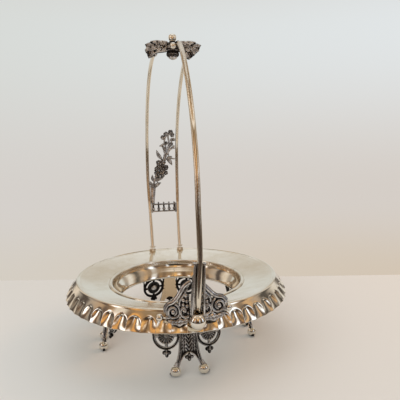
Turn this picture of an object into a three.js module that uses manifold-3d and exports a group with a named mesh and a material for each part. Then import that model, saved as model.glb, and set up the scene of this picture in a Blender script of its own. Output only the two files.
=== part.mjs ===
// Silver-plated brides basket frame of the late nineteenth century, without its glass bowl.
// Millimetres, +Z up. The origin is on the floor, under the middle of the ring.
// The single stem of the handle and its bracket are at the front, toward -Y.

import * as THREE from "three";
import { mergeVertices } from "three/addons/utils/BufferGeometryUtils.js";
import Module from "manifold-3d";

const wasm = await Module();
wasm.setup();

// Solder line left between two pieces that sit on each other
const seatGap = 0.35;

// Ring, spun from one sheet: dished plate, rounded shoulder, fluted skirt
const sheet = 1.2;
const plateBoreRadius = 66.2;
const plateDish = 6.6; // depth of the bore's edge below the shoulder
const shoulderRadius = 95.6;
const shoulderHeight = 68.8;
const shoulderRound = 2.1;
const skirtFlare = 11.4;
const skirtDrop = 16.1;
const skirtRadius = shoulderRadius + skirtFlare;
const skirtHeight = shoulderHeight - skirtDrop;
const plateBoreHeight = shoulderHeight - plateDish;
const fluteCount = 54;
const fluteDepth = 2.1;
const fluteStart = 0.2; // share of the skirt's slope that stays smooth above the flutes
const fluteArch = 0.2; // how much lower a flute begins at its sides than in its middle
const fluteFade = 0.55; // share of its depth that a flute loses by the lower edge

// Collar that lines the bore and carries the bowl
const collarWall = 1.2;
const collarSeat = 1.8; // width of the flat top that the bowl rests on
const collarStep = 0.7;
const collarLip = 1.1;
const collarEdge = 0.8; // width of the rolled edge outside the seat
const collarCove = 1.7; // how much narrower the waist is than the seat
const collarTaper = 1.5; // how much narrower the lower edge is than the waist
const collarUpper = 9.9; // height of the cove, from the seat down to the waist
const collarLower = 9.8; // height of the band below the waist
const collarSeatHeight = plateBoreHeight + collarStep;
const collarSeatOuter = plateBoreRadius - collarEdge;
const collarSeatInner = collarSeatOuter - collarSeat;
const collarWaistRadius = collarSeatInner - collarCove;
const collarWaistHeight = collarSeatHeight - collarUpper;
const collarBottomRadius = collarWaistRadius - collarTaper;
const collarBottomHeight = collarWaistHeight - collarLower;

// Four cast feet
const footCount = 4;
const footCasting = 2.8;
const footLean = THREE.MathUtils.degToRad(13);
const footSeat = 0.5; // how far a foot's top stands off the collar, before the solder
const footDrop = 4.1; // how far a foot's top is below the collar's waist
const footTop = (collarWaistHeight - footDrop) / Math.cos(footLean);
const footSplay = footTop * Math.sin(footLean);
const footFloorRadius = collarBottomRadius + collarWall + footCasting / 2 + footSeat + footSplay;
const pilasterTopHalf = 4.4;
const pilasterNeckHalf = 7.8;
const pilasterNeckHeight = 23;
const archHeight = 18.4;
const discRadius = 12.1;
const discSide = 19.3;
const discSweep = THREE.MathUtils.degToRad(16.5);
const discPlate = 2.2;
const slotInner = 7.4;
const slotOuter = 9.6;
const slotBridge = THREE.MathUtils.degToRad(22);
const frameHalf = 12.1;
const discLink = 1.2; // half height of the bar between a disc and the pilaster
const frameDrop = 3.8; // how far the discs' frames stay below the foot's top
const frameRise = 12.3; // from a disc's centre to the top of its frame
const frameTop = footTop - frameDrop;
const discHeight = frameTop - frameRise;
const frameBar = 1.3;
const pendantLength = 6.2;
const pendantHalf = 3;
const archBudLength = 7.6;
const ballRadius = 4.7;
const ballFlat = 0.25;
const ballSide = 12.2;

// Handle: a round hoop on straight legs, one stem in front and two rods behind
const hoopHeight = 160;
const hoopReach = 117;
const stemReach = 112;
const stemRadius = 2.15;
const stemSlopeRatio = 0.04; // outward travel of the stem per millimetre of height, above the bracket
const stemSwellX = 2.4;
const stemBendX = -0.8;
const stemTopX = 6;
const stemEndY = 6.2;
const stemDepth = 1.4; // how far the stem enters the ball nut
const rodRadius = 1.9;
const rodTop = 279.3;
const stemRise = 6.2; // how much higher the stem meets the crown than the rods do
const stemTop = rodTop + stemRise;
const rodEndY = 5.4;
const rodFootX = 16.2;
const rodFootInset = 1.2; // from the shoulder's crest
const rodFootY = Math.sqrt((shoulderRadius - rodFootInset) ** 2 - rodFootX ** 2);
const rodSwellX = 17.8;
const rodTopX = 15.4;
const rodTail = 7.6;
const rodCollarRadius = 4.3;
const rodCollarHeight = 3.6;
const collarSunk = 2.9; // depth of a collar's blank, before the shoulder is cut out of it
const rodNutRadius = 3.7;
const rodNutHeight = 2.4;
const rodNutDrop = 4.2; // from the shoulder's top down to the nut
const footShare = 0.06; // share of a leg's length that lies in its seat
const nutShare = 0.04; // share of the stem's length that lies in its nut
const rodSlopeRatio = 0.36; // outward travel of a rear rod per millimetre of height, below the hoop
const quarterCircleShare = 0.5523; // handle length of a cubic curve that follows a quarter circle

// Bracket that carries the stem on the front of the skirt
const bracketX = 1.2;
const bracketRise = 5.3; // from the skirt's lower edge
const bracketZ = skirtHeight + bracketRise;
const bracketGap = 0.9; // between the bracket's back and the skirt, before the solder
const bracketLean = THREE.MathUtils.degToRad(3);
const channelBack = 1.9;
const channelCheek = 1.7;
const channelDepth = 5.6;
const channelTopHalf = 4.3;
const channelFootHalf = 5.4;
const channelTop = 50;
const channelFoot = 9.5;
const wingPlate = 2.6;
const wingSweep = THREE.MathUtils.degToRad(7);
const wingTilt = THREE.MathUtils.degToRad(7);
const wingShift = -1.6;
const voluteX = 18.8;
const voluteZ = 13.6;
const voluteRadius = 6.4;
const voluteRise = 3;
const lugHalf = 3.6;
const lugLow = 2.5;
const lugHigh = 14;
const lugReach = 7;
const nutRadius = 6.6;
const nutHeight = 5.1;
const tipBallRadius = 2.8;
const tipBallX = 27.4;
const tipBallZ = 9.6;

// Gallery between the rear rods and the spray that grows out of it
const galleryRise = 42.6; // from the shoulder to the lower rail
const galleryHeight = 9.5;
const galleryLow = shoulderHeight + galleryRise;
const galleryHigh = galleryLow + galleryHeight;
const galleryRail = 1.5;
const galleryPost = 1.5;
const galleryDepth = 2.2;
const galleryPitch = 6.3;
const balusterCount = 5;
const sprayHeight = 86.5;
const sprayDepth = 2.4;
const sprayStem = 0.95;
const sprayLeaf = 1.9; // half of a leaf's width
const holderLength = 19;
const holderBase = [-0.73, 0];
const holderTip = [-0.66, 0];
const bloomRadius = 7.2;
const bloomDepth = 3.4;

// Crown that ties the three legs together
const crownX = 0.9;
const crownHeight = 8.8;
const crownSeat = 0.5; // from the rods' ends to the crown's underside
const crownLow = rodTop + crownSeat;
const crownHigh = crownLow + crownHeight;
const crownRadius = 6.4;
const crownArmDepth = 8;
const crownArmReach = 25.5;
const crownArmRight = 27; // the right arm is longer and hangs closer in
const rosetteRadius = 3.7;
const rosetteX = 11;
const crownStud = 1.2;
const studReach = 3.2; // how far the stud enters the top ball and the drop
const topBallRadius = 3.8;
const topBallFlat = 0.6;
const frontBallRadius = 2.85;
const frontNeck = 1.3;
const frontBallX = -0.1;
const frontBallReach = 4.6;
const frontBallRise = 3.4;
const frontBallY = crownRadius + frontBallReach;
const frontBallZ = crownLow + frontBallRise;
const dropRadius = 6.1;
const dropLength = 6.9;
const socketWall = 1.1;
const socketDepth = 2; // length of a leg that its socket holds
const socketRoot = 3.4; // length of a socket inside the crown

// Facets
const ringFacets = 54;
const rodSides = 8;
const ballFacets = 12;
const nutFacets = 16;
const legSteps = 32;

const silver = { color: 0xcfcabb, roughness: 0.16, metalness: 1 };
const castSilver = { color: 0x8d887f, roughness: 0.36, metalness: 1 };
const darkCast = { color: 0x4a4743, roughness: 0.45, metalness: 1 };
const brightSilver = { color: 0xddd8ca, roughness: 0.08, metalness: 1 };
const brassScrew = { color: 0xb39a62, roughness: 0.35, metalness: 1 };

const basket = new THREE.Group();

// Solids

function signedVolume(position, index) {
  const a = new THREE.Vector3();
  const b = new THREE.Vector3();
  const c = new THREE.Vector3();
  let volume = 0;
  for (let i = 0; i < index.length; i += 3) {
    a.fromBufferAttribute(position, index[i]);
    b.fromBufferAttribute(position, index[i + 1]);
    c.fromBufferAttribute(position, index[i + 2]);
    volume += a.dot(b.cross(c)) / 6;
  }
  return volume;
}

// Shares the vertices of a closed surface, drops slivers at the poles and turns the faces outward.
function welded(geometry) {
  const bare = new THREE.BufferGeometry();
  bare.setAttribute("position", geometry.getAttribute("position").clone());
  if (geometry.index) bare.setIndex(geometry.index.clone());
  const merged = mergeVertices(bare, 1e-4);
  const kept = [];
  const index = merged.index.array;
  for (let i = 0; i < index.length; i += 3) {
    const [a, b, c] = [index[i], index[i + 1], index[i + 2]];
    if (a !== b && b !== c && c !== a) kept.push(a, b, c);
  }
  if (signedVolume(merged.getAttribute("position"), kept) < 0) kept.reverse();
  merged.setIndex(kept);
  return merged;
}

function toSolid(geometry) {
  const closed = welded(geometry);
  const vertProperties = new Float32Array(closed.getAttribute("position").array);
  const triVerts = new Uint32Array(closed.index.array);
  return new wasm.Manifold(new wasm.Mesh({ numProp: 3, vertProperties, triVerts }));
}

function toGeometry(solid) {
  const mesh = solid.getMesh();
  const geometry = new THREE.BufferGeometry();
  geometry.setAttribute("position", new THREE.BufferAttribute(mesh.vertProperties, 3));
  geometry.setIndex(new THREE.BufferAttribute(mesh.triVerts, 1));
  return geometry;
}

function joined(geometries) {
  return geometries.map(toSolid).reduce((whole, next) => whole.add(next));
}

function cutAway(solid, geometries) {
  return geometries.map(toSolid).reduce((whole, next) => whole.subtract(next), solid);
}

function addPiece(name, geometry, finish, parent = basket) {
  const mesh = new THREE.Mesh(geometry, new THREE.MeshStandardMaterial(finish));
  mesh.name = name;
  parent.add(mesh);
  return mesh;
}

// A profile of [radius, height] pairs turned about Z.
function turned(profile, facets) {
  const points = profile.map(([r, z]) => new THREE.Vector2(r, z));
  return new THREE.LatheGeometry(points, facets).rotateX(Math.PI / 2);
}

// A closed ring of metal: the profile closes on itself.
function turnedRing(profile, facets) {
  return turned([...profile, profile[0]], facets);
}

function ball(radius, facets, floor = -radius) {
  const rows = facets / 2;
  const profile = [[0, floor]];
  for (let i = 0; i <= rows; i += 1) {
    const angle = -Math.PI / 2 + (Math.PI * i) / rows;
    const z = radius * Math.sin(angle);
    if (z > floor + 1e-6) profile.push([i === rows ? 0 : radius * Math.cos(angle), z]);
    else profile[1] = [Math.sqrt(radius * radius - floor * floor), floor];
  }
  if (floor === -radius) profile.splice(1, 1);
  return turned(profile, facets);
}

// A flat outline in X and Z given a thickness along Y, from back (+Y) to front (-Y).
function plate(outline, back, front) {
  const settings = { depth: back - front, bevelEnabled: false };
  const geometry = new THREE.ExtrudeGeometry(outline, settings).rotateX(Math.PI / 2);
  return geometry.translate(0, back, 0);
}

// The extrusion only turns the holes the right way when the outline runs anticlockwise.
function polygon(points) {
  const corners = points.map(([x, z]) => new THREE.Vector2(x, z));
  if (THREE.ShapeUtils.isClockWise(corners)) corners.reverse();
  return new THREE.Shape(corners);
}

function opening(points) {
  return new THREE.Path(points.map(([x, z]) => new THREE.Vector2(x, z)));
}

function mirrored(points) {
  return points.map(([x, z]) => [-x, z]).reverse();
}

// A round bar along a curve.
function bar(curve, radius, steps, sides = rodSides) {
  const section = new THREE.Shape();
  for (let i = 0; i < sides; i += 1) {
    const angle = (2 * Math.PI * i) / sides;
    const x = radius * Math.cos(angle);
    const y = radius * Math.sin(angle);
    if (i === 0) section.moveTo(x, y);
    else section.lineTo(x, y);
  }
  section.closePath();
  return new THREE.ExtrudeGeometry(section, { extrudePath: curve, steps, bevelEnabled: false });
}

function rod(from, to, radius, sides = rodSides) {
  return bar(new THREE.LineCurve3(from, to), radius, 1, sides);
}

const point = (x, y, z) => new THREE.Vector3(x, y, z);

// Ring

const slope = {
  top: [shoulderRadius + 0.9 * shoulderRound, shoulderHeight - 0.65 * shoulderRound],
  low: [skirtRadius, skirtHeight],
};

function onSkirt(share) {
  const r = THREE.MathUtils.lerp(slope.top[0], slope.low[0], share);
  const z = THREE.MathUtils.lerp(slope.top[1], slope.low[1], share);
  return [r, z];
}

// Depth of a flute: side runs from -1 to 1 across it, share runs down the skirt.
function fluteHollow(side, share) {
  const begin = fluteStart + fluteArch * side * side;
  const down = THREE.MathUtils.clamp((share - begin) / 0.3, 0, 1);
  const fade = 1 - fluteFade * THREE.MathUtils.smoothstep(share, 0.6, 1);
  return fluteDepth * fade * (1 - side * side) * Math.sin((down * Math.PI) / 2);
}

function ringPiece() {
  const crest = [shoulderRadius, shoulderHeight];
  const inside = [shoulderRadius - shoulderRound, shoulderHeight - 0.17 * shoulderRound];
  const smooth = (r, z) => ({ r, z, share: null });
  const fluted = (share, back) => ({ r: onSkirt(share)[0] - back, z: onSkirt(share)[1], share });
  const wall = sheet * 1.15;
  const shares = [fluteStart, 0.45, 0.68, 1];
  const rings = [
    smooth(plateBoreRadius, plateBoreHeight),
    smooth(...inside),
    smooth(...crest),
    smooth(...slope.top),
    ...shares.map((share) => fluted(share, 0)),
    ...shares.map((share) => fluted(share, wall)).reverse(),
    smooth(slope.top[0] - 0.85 * sheet, slope.top[1] - 0.75 * sheet),
    smooth(inside[0], inside[1] - sheet),
    smooth(plateBoreRadius, plateBoreHeight - sheet),
  ];
  const perFlute = 3;
  const positions = [];
  const starts = [];
  const counts = [];
  for (const ring of rings) {
    const count = ring.share === null ? fluteCount : fluteCount * perFlute;
    starts.push(positions.length / 3);
    counts.push(count);
    for (let i = 0; i < count; i += 1) {
      const angle = (2 * Math.PI * i) / count;
      const side = ((i % perFlute) / perFlute) * 2 - 1;
      const hollow = ring.share === null ? 0 : fluteHollow(side, ring.share);
      const r = ring.r - hollow;
      positions.push(r * Math.cos(angle), r * Math.sin(angle), ring.z);
    }
  }
  const index = [];
  rings.forEach((ring, k) => {
    const next = (k + 1) % rings.length;
    bridge(index, starts[k], counts[k], starts[next], counts[next]);
  });
  const geometry = new THREE.BufferGeometry();
  geometry.setAttribute("position", new THREE.Float32BufferAttribute(positions, 3));
  geometry.setIndex(index);
  return geometry;
}

// Joins two rings of vertices, also where one has more of them than the other.
function bridge(index, startA, countA, startB, countB) {
  let a = 0;
  let b = 0;
  while (a < countA || b < countB) {
    const nowA = startA + (a % countA);
    const nowB = startB + (b % countB);
    if (b === countB || (a < countA && (a + 1) / countA <= (b + 1) / countB)) {
      index.push(nowA, startA + ((a + 1) % countA), nowB);
      a += 1;
    } else {
      index.push(nowA, startB + ((b + 1) % countB), nowB);
      b += 1;
    }
  }
}

// The space that the ring's upper surface takes up, with its solder line, for cutting what sits on it.
function ringEnvelope() {
  const lift = seatGap + 0.1;
  return turned(
    [
      [0, 0],
      [slope.low[0] + lift, 0],
      [slope.low[0] + lift, slope.low[1]],
      [slope.top[0] + lift, slope.top[1] + 0.5 * lift],
      [shoulderRadius, shoulderHeight + lift],
      [shoulderRadius - shoulderRound, shoulderHeight - 0.17 * shoulderRound + lift],
      [plateBoreRadius, plateBoreHeight + lift],
      [0, plateBoreHeight + lift],
    ],
    2 * ringFacets,
  );
}

// Collar

function collarPiece() {
  const outer = plateBoreRadius - seatGap;
  const w = collarWall;
  return turnedRing(
    [
      [outer, plateBoreHeight - 1.6],
      [outer, collarSeatHeight - 0.6],
      [collarSeatOuter, collarSeatHeight],
      [collarSeatInner, collarSeatHeight],
      [collarSeatInner - 1.3, collarSeatHeight - 2.4],
      [collarWaistRadius, collarWaistHeight + 0.5],
      [collarWaistRadius - collarStep, collarWaistHeight - 0.5],
      [collarBottomRadius, collarBottomHeight + 1.6],
      [collarBottomRadius - collarLip, collarBottomHeight],
      [collarBottomRadius + w, collarBottomHeight],
      [collarWaistRadius - collarStep + w, collarWaistHeight - 1.5],
      [collarWaistRadius + w, collarWaistHeight],
      [collarSeatInner + 0.3, collarSeatHeight - 2.4],
    ],
    ringFacets,
  );
}

// Feet

// The mid-plane of a foot leans inward as it rises; side is across it, up is along it.
function footMatrix() {
  const turn = new THREE.Matrix4().makeRotationX(-footLean);
  return new THREE.Matrix4().makeTranslation(0, -footFloorRadius, 0).multiply(turn);
}

function pilasterOutline() {
  const half = [
    [pilasterTopHalf, footTop],
    [pilasterTopHalf + 0.6, THREE.MathUtils.lerp(pilasterNeckHeight, footTop, 0.56)],
    [pilasterNeckHalf - 0.9, THREE.MathUtils.lerp(pilasterNeckHeight, footTop, 0.29)],
    [pilasterNeckHalf, pilasterNeckHeight],
    [pilasterNeckHalf + 2.2, pilasterNeckHeight - 7.4],
    [ballSide + 1.3, ballRadius + 2],
  ];
  const arch = [
    [ballSide - 1.7, ballRadius + 0.6],
    [ballSide - 4.2, archHeight - 8.2],
    [ballSide - 7, archHeight - 3],
    [ballSide - 9.4, archHeight - 0.6],
  ];
  return polygon([...half, ...arch, [0, archHeight], ...mirrored(arch), ...mirrored(half)]);
}

// Trefoil bud that hangs from (x, top).
function budOutline(x, top, half, length) {
  const right = [
    [0.4 * half, top + 0.8],
    [0.45 * half, top - 0.1 * length],
    [half, top - 0.28 * length],
    [half, top - 0.5 * length],
    [0.55 * half, top - 0.58 * length],
    [0.45 * half, top - 0.85 * length],
  ];
  const all = [...right, [0, top - length], ...mirrored(right)];
  return polygon(all.map(([dx, z]) => [x + dx, z]));
}

// Points along a round stretch about (x, z), from one angle to another.
function arc(x, z, radius, from, to, pieces) {
  return Array.from({ length: pieces + 1 }, (_, i) => {
    const angle = THREE.MathUtils.lerp(from, to, i / pieces);
    return [x + radius * Math.cos(angle), z + radius * Math.sin(angle)];
  });
}

// Pierced disc in a square-headed frame, drawn to the right of the foot.
function discOutline() {
  const outline = polygon([
    [discSide - frameHalf, frameTop],
    ...arc(discSide, discHeight, discRadius, Math.PI, 2 * Math.PI, 10),
    [discSide + frameHalf, frameTop],
  ]);
  for (let quarter = 0; quarter < 4; quarter += 1) {
    const from = (quarter * Math.PI) / 2 + slotBridge / 2;
    const to = ((quarter + 1) * Math.PI) / 2 - slotBridge / 2;
    const outside = arc(discSide, discHeight, slotOuter, from, to, 3);
    const inside = arc(discSide, discHeight, slotInner, to, from, 3);
    outline.holes.push(opening([...outside, ...inside]));
  }
  for (const side of [-1, 1]) {
    const corner = side * (frameHalf - frameBar);
    const high = frameTop - frameBar;
    const spandrel = opening([
      [discSide + corner, high],
      [discSide + side * 2.8, high - 0.3 - 0.1 * side],
      [discSide + side * 6.6, discHeight + 9.9],
      [discSide + side * 9.6, discHeight + 6.9],
      [discSide + corner, discHeight + 4.6],
    ]);
    outline.holes.push(spandrel);
  }
  return outline;
}

// The bar that joins a disc's frame to the pilaster at the top.
function frameTie() {
  const [inner, outer] = [pilasterTopHalf - frameBar, discSide - frameHalf + frameBar];
  const low = frameTop - 2 * frameBar;
  return polygon([[inner, low], [outer, low], [outer, frameTop], [inner, frameTop]]);
}

// The short bar that holds a disc to the pilaster at the height of its centre.
function discTie() {
  const [inner, outer] = [pilasterTopHalf - frameBar, discSide - slotOuter - frameBar];
  const [low, high] = [discHeight - discLink, discHeight + discLink];
  return polygon([[inner, low], [outer, low], [outer, high], [inner, high]]);
}

function footPiece() {
  const half = footCasting / 2;
  const parts = [
    plate(pilasterOutline(), half, -half),
    plate(budOutline(0, archHeight, 3.4, archBudLength), 1, -1),
  ];
  for (const side of [-1, 1]) {
    const wing = [
      plate(discOutline(), discPlate / 2, -discPlate / 2),
      plate(frameTie(), discPlate / 2, -discPlate / 2),
      plate(discTie(), discPlate / 2, -discPlate / 2),
      plate(budOutline(discSide, discHeight - discRadius, pendantHalf, pendantLength), 1, -1),
    ];
    for (const part of wing) {
      if (side < 0) part.scale(-1, 1, 1);
      part.translate(-side * pilasterTopHalf, 0, 0);
      part.rotateZ(side * discSweep);
      part.translate(side * pilasterTopHalf, 0, 0);
      parts.push(part);
    }
  }
  const inverse = footMatrix().invert();
  const cups = [-1, 1].map((side) => {
    const cup = ball(ballRadius + seatGap, ballFacets);
    cup.translate(side * ballSide, -ballRing(), ballRadius - ballFlat);
    return cup.applyMatrix4(inverse);
  });
  return toGeometry(cutAway(joined(parts), cups));
}

// Radius from the middle of the ring to the centre of a foot's balls.
function ballRing() {
  return footFloorRadius - (ballRadius - ballFlat) * Math.tan(footLean);
}

function addFeet() {
  const casting = footPiece();
  const footBall = ball(ballRadius, ballFacets, ballFlat - ballRadius);
  footBall.translate(0, 0, ballRadius - ballFlat);
  ["front", "right", "back", "left"].slice(0, footCount).forEach((place, k) => {
    const quarter = new THREE.Group();
    quarter.rotation.z = (2 * Math.PI * k) / footCount;
    basket.add(quarter);
    const foot = addPiece(`foot_${place}`, casting, castSilver, quarter);
    foot.position.set(0, -footFloorRadius, 0);
    foot.rotation.x = -footLean;
    for (const [hand, side] of [["a", -1], ["b", 1]]) {
      const sphere = addPiece(`foot_ball_${place}_${hand}`, footBall, brightSilver, quarter);
      sphere.position.set(side * ballSide, -ballRing(), 0);
    }
  });
}

// Handle

// The stretch of a curve between two shares of its length.
class Stretch extends THREE.Curve {
  constructor(whole, from, to) {
    super();
    this.whole = whole;
    this.from = from;
    this.to = to;
  }

  getPoint(t) {
    return this.whole.getPointAt(THREE.MathUtils.lerp(this.from, this.to, t));
  }
}

// Share of a leg's length at which it has come within stop of the plane y = 0.
function shareUntilY(curve, stop) {
  let low = 0.5;
  let high = 1;
  for (let i = 0; i < 40; i += 1) {
    const middle = (low + high) / 2;
    if (Math.abs(curve.getPointAt(middle).y) > stop) low = middle;
    else high = middle;
  }
  return low;
}

// Straight foot, bend into the hoop at its widest, then a quarter of the hoop up to the crown.
function legCurve(start, foot, footSlope, swell, bendX, topX, top) {
  const side = Math.sign(swell.y);
  const rise = hoopHeight - foot.z;
  const lift = 0.45 * rise;
  const out = point(foot.x, foot.y + side * footSlope * lift, foot.z + lift);
  const under = point(swell.x, swell.y, hoopHeight - 0.5 * (hoopHeight - foot.z - lift));
  const climb = quarterCircleShare * (top - hoopHeight);
  const path = new THREE.CurvePath();
  path.add(new THREE.LineCurve3(start, foot));
  path.add(new THREE.CubicBezierCurve3(foot, out, under, swell));
  path.add(
    new THREE.CubicBezierCurve3(
      swell,
      point(swell.x - (swell.x - bendX) / 3, swell.y, hoopHeight + climb),
      point(bendX, quarterCircleShare * swell.y, top),
      point(topX, 0, top),
    ),
  );
  path.foot = foot;
  return path;
}

function rearLeg(side) {
  const foot = point(side * rodFootX, rodFootY, shoulderHeight);
  const start = point(foot.x, foot.y - rodSlopeRatio * rodTail, foot.z - rodTail);
  const swell = point(side * rodSwellX, hoopReach, hoopHeight);
  return legCurve(start, foot, rodSlopeRatio, swell, swell.x, side * rodTopX, rodTop);
}

const rearLegs = { left: rearLeg(-1), right: rearLeg(1) };

// Distance of the rear legs from the middle of the ring at a height, below the top of the hoop.
const rearSamples = rearLegs.right.getSpacedPoints(160);
function rearYAt(z) {
  for (let i = 1; i < rearSamples.length; i += 1) {
    const [a, b] = [rearSamples[i - 1], rearSamples[i]];
    if (b.z >= z) return THREE.MathUtils.mapLinear(z, a.z, b.z, a.y, b.y);
  }
  return 0;
}

// Bracket

const slopeShare = (slope.top[1] - bracketZ) / (slope.top[1] - slope.low[1]);
const bracketFrame = new THREE.Matrix4()
  .makeTranslation(bracketX, -onSkirt(slopeShare)[0] - bracketGap, bracketZ)
  .multiply(new THREE.Matrix4().makeRotationY(bracketLean));

// A point of the bracket: side across it, out from its back face, up along it.
function onBracket(side, out, up) {
  return point(side, -out, up).applyMatrix4(bracketFrame);
}

const stemOut = channelBack + seatGap + stemRadius;

function stemCurve() {
  const start = onBracket(0, stemOut, nutHeight + nutRadius - stemDepth);
  const mouth = onBracket(0, stemOut, channelTop);
  const swell = point(stemSwellX, -stemReach, hoopHeight);
  return legCurve(start, mouth, stemSlopeRatio, swell, stemBendX, stemTopX, stemTop);
}

const stem = stemCurve();

function wingOutline() {
  const edge = [
    [channelTopHalf - 1, 37.5],
    [9.6, 31.6],
    [14.4, 26],
    [voluteX - 1.5, voluteZ + voluteRadius + 1.2],
    [voluteX + 2.6, voluteZ + voluteRadius - 0.4],
    [voluteX + 5.6, voluteZ + 3.4],
    [voluteX + 6.3, voluteZ - 0.6],
    [tipBallX - 2.2, tipBallZ - 2.4],
    [tipBallX - 4.4, 5.2],
    [17.5, 3.8],
    [10.6, 5.2],
    [channelFootHalf - 2, 4],
  ];
  const outline = polygon(edge);
  const strapHole = [
    [channelTopHalf + 1.6, 32.2],
    [12, 25.9],
    [9.7, 23.6],
    [channelTopHalf + 2, 26.4],
  ];
  const scrollHole = [
    [channelFootHalf + 1.5, 19.4],
    [10.6, 19.6],
    [11.4, 13.8],
    [9, 10.4],
    [channelFootHalf + 1.2, 13],
  ];
  for (const hole of [strapHole, scrollHole]) {
    outline.holes.push(opening(hole));
  }
  return outline;
}

function channelParts() {
  const back = polygon([
    [channelFootHalf, lugLow],
    [channelTopHalf, channelTop],
    [-channelTopHalf, channelTop],
    [-channelFootHalf, lugLow],
  ]);
  const parts = [plate(back, 0, -channelBack)];
  for (const side of [-1, 1]) {
    const cheek = [
      [channelFootHalf, channelFoot],
      [channelTopHalf, channelTop],
      [channelTopHalf - channelCheek, channelTop],
      [channelFootHalf - channelCheek, channelFoot],
    ];
    const outline = polygon(side > 0 ? cheek : mirrored(cheek));
    parts.push(plate(outline, -channelBack + 0.4, -channelDepth));
  }
  return parts;
}

// A wing is drawn to the right of the channel. It is swept back along the skirt, mirrored for the
// left side, and tilted about the height of its tip, because the pair hangs level.
function wingMatrix(side) {
  return new THREE.Matrix4()
    .makeTranslation(wingShift, 0, tipBallZ)
    .multiply(new THREE.Matrix4().makeRotationY(-wingTilt))
    .multiply(new THREE.Matrix4().makeTranslation(0, 0, -tipBallZ))
    .multiply(new THREE.Matrix4().makeScale(side, 1, 1))
    .multiply(new THREE.Matrix4().makeRotationZ(wingSweep));
}

function tipCentre(side) {
  return point(tipBallX, -wingPlate / 2, tipBallZ).applyMatrix4(wingMatrix(side));
}

function wingParts(side) {
  const eye = voluteRadius - 0.8;
  const boss = turned([[0, 0], [eye, 0], [0.88 * eye, 0.6 * voluteRise], [0, voluteRise]], ballFacets);
  boss.rotateX(Math.PI / 2);
  boss.translate(voluteX, -wingPlate + 0.4, voluteZ);
  return [plate(wingOutline(), 0, -wingPlate), boss].map((part) => {
    return part.applyMatrix4(wingMatrix(side));
  });
}

function bracketPiece() {
  const lug = polygon([
    [lugHalf, lugLow],
    [lugHalf, lugHigh],
    [-lugHalf, lugHigh],
    [-lugHalf, lugLow],
  ]);
  const parts = [...channelParts(), ...wingParts(-1), ...wingParts(1), plate(lug, lugReach, -0.4)];
  const rim = ringEnvelope().applyMatrix4(bracketFrame.clone().invert());
  const nut = ball(nutRadius + seatGap, nutFacets).translate(0, -stemOut, nutHeight);
  const groove = rod(
    point(0, -stemOut, nutHeight),
    point(0, -stemOut, channelTop + 1),
    stemRadius + seatGap,
  );
  const tips = [-1, 1].map((side) => {
    return ball(tipBallRadius + seatGap, ballFacets).translate(...tipCentre(side));
  });
  return toGeometry(cutAway(joined(parts), [rim, nut, groove, ...tips]));
}

function addBracket() {
  const bracket = addPiece("handle_bracket", bracketPiece(), castSilver);
  bracket.applyMatrix4(bracketFrame);

  const nut = ball(nutRadius, nutFacets).translate(...onBracket(0, stemOut, nutHeight));
  const shank = bar(new Stretch(stem, 0, nutShare), stemRadius + seatGap, 1);
  const trimmed = cutAway(toSolid(nut), [ringEnvelope(), shank]);
  addPiece("stem_ball_nut", toGeometry(trimmed), brightSilver);

  for (const [place, side] of [["left", -1], ["right", 1]]) {
    const tip = addPiece(`bracket_ball_${place}`, ball(tipBallRadius, ballFacets), brightSilver);
    tip.position.copy(tipCentre(side).applyMatrix4(bracketFrame));
  }
}

function addLegs() {
  const stemBar = bar(new Stretch(stem, 0, shareUntilY(stem, stemEndY)), stemRadius, legSteps);
  addPiece("handle_stem", stemBar, silver);

  for (const [place, curve] of Object.entries(rearLegs)) {
    const whole = new Stretch(curve, 0, shareUntilY(curve, rodEndY));
    addPiece(`rear_rod_${place}`, bar(whole, rodRadius, legSteps), silver);

    const cup = turned(
      [
        [0, -collarSunk],
        [rodCollarRadius, -collarSunk],
        [rodCollarRadius, 0.3 * rodCollarHeight],
        [0.6 * rodCollarRadius, rodCollarHeight],
        [0, rodCollarHeight],
      ],
      10,
    );
    cup.translate(...alongFoot(curve, 0.5 * rodCollarHeight));
    const collar = cutAway(toSolid(cup), [ringEnvelope(), rodPassage(curve)]);
    addPiece(`rear_collar_${place}`, toGeometry(collar), castSilver);

    const hex = rod(alongFoot(curve, -rodNutDrop - rodNutHeight), alongFoot(curve, -rodNutDrop), rodNutRadius, 6);
    const nut = cutAway(toSolid(hex), [rodPassage(curve)]);
    addPiece(`rear_nut_${place}`, toGeometry(nut), brassScrew);
  }
}

// A point on a rear rod's straight foot, by its height above the shoulder.
function alongFoot(curve, rise) {
  return point(curve.foot.x, curve.foot.y + rodSlopeRatio * rise, curve.foot.z + rise);
}

// The hole that a rear rod needs through the shoulder, its collar and its nut.
function rodPassage(curve) {
  return bar(new Stretch(curve, 0, footShare), rodRadius + seatGap, 2);
}

function addRing() {
  const rim = cutAway(toSolid(ringPiece()), Object.values(rearLegs).map(rodPassage));
  addPiece("rim_plate", toGeometry(rim), silver);
  addPiece("bowl_collar", collarPiece(), silver);
}

// Gallery and spray

// Moves a flat casting back onto the rear legs, whose distance changes with height.
function bentToLegs(geometry) {
  const position = geometry.getAttribute("position");
  for (let i = 0; i < position.count; i += 1) {
    position.setY(i, position.getY(i) + rearYAt(position.getZ(i)));
  }
  return geometry;
}

function galleryHalf(z) {
  const share = (z - shoulderHeight) / (hoopHeight - shoulderHeight);
  const spread = THREE.MathUtils.lerp(rodFootX, rodSwellX, THREE.MathUtils.smoothstep(share, 0, 1));
  return spread - rodRadius - seatGap;
}

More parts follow.
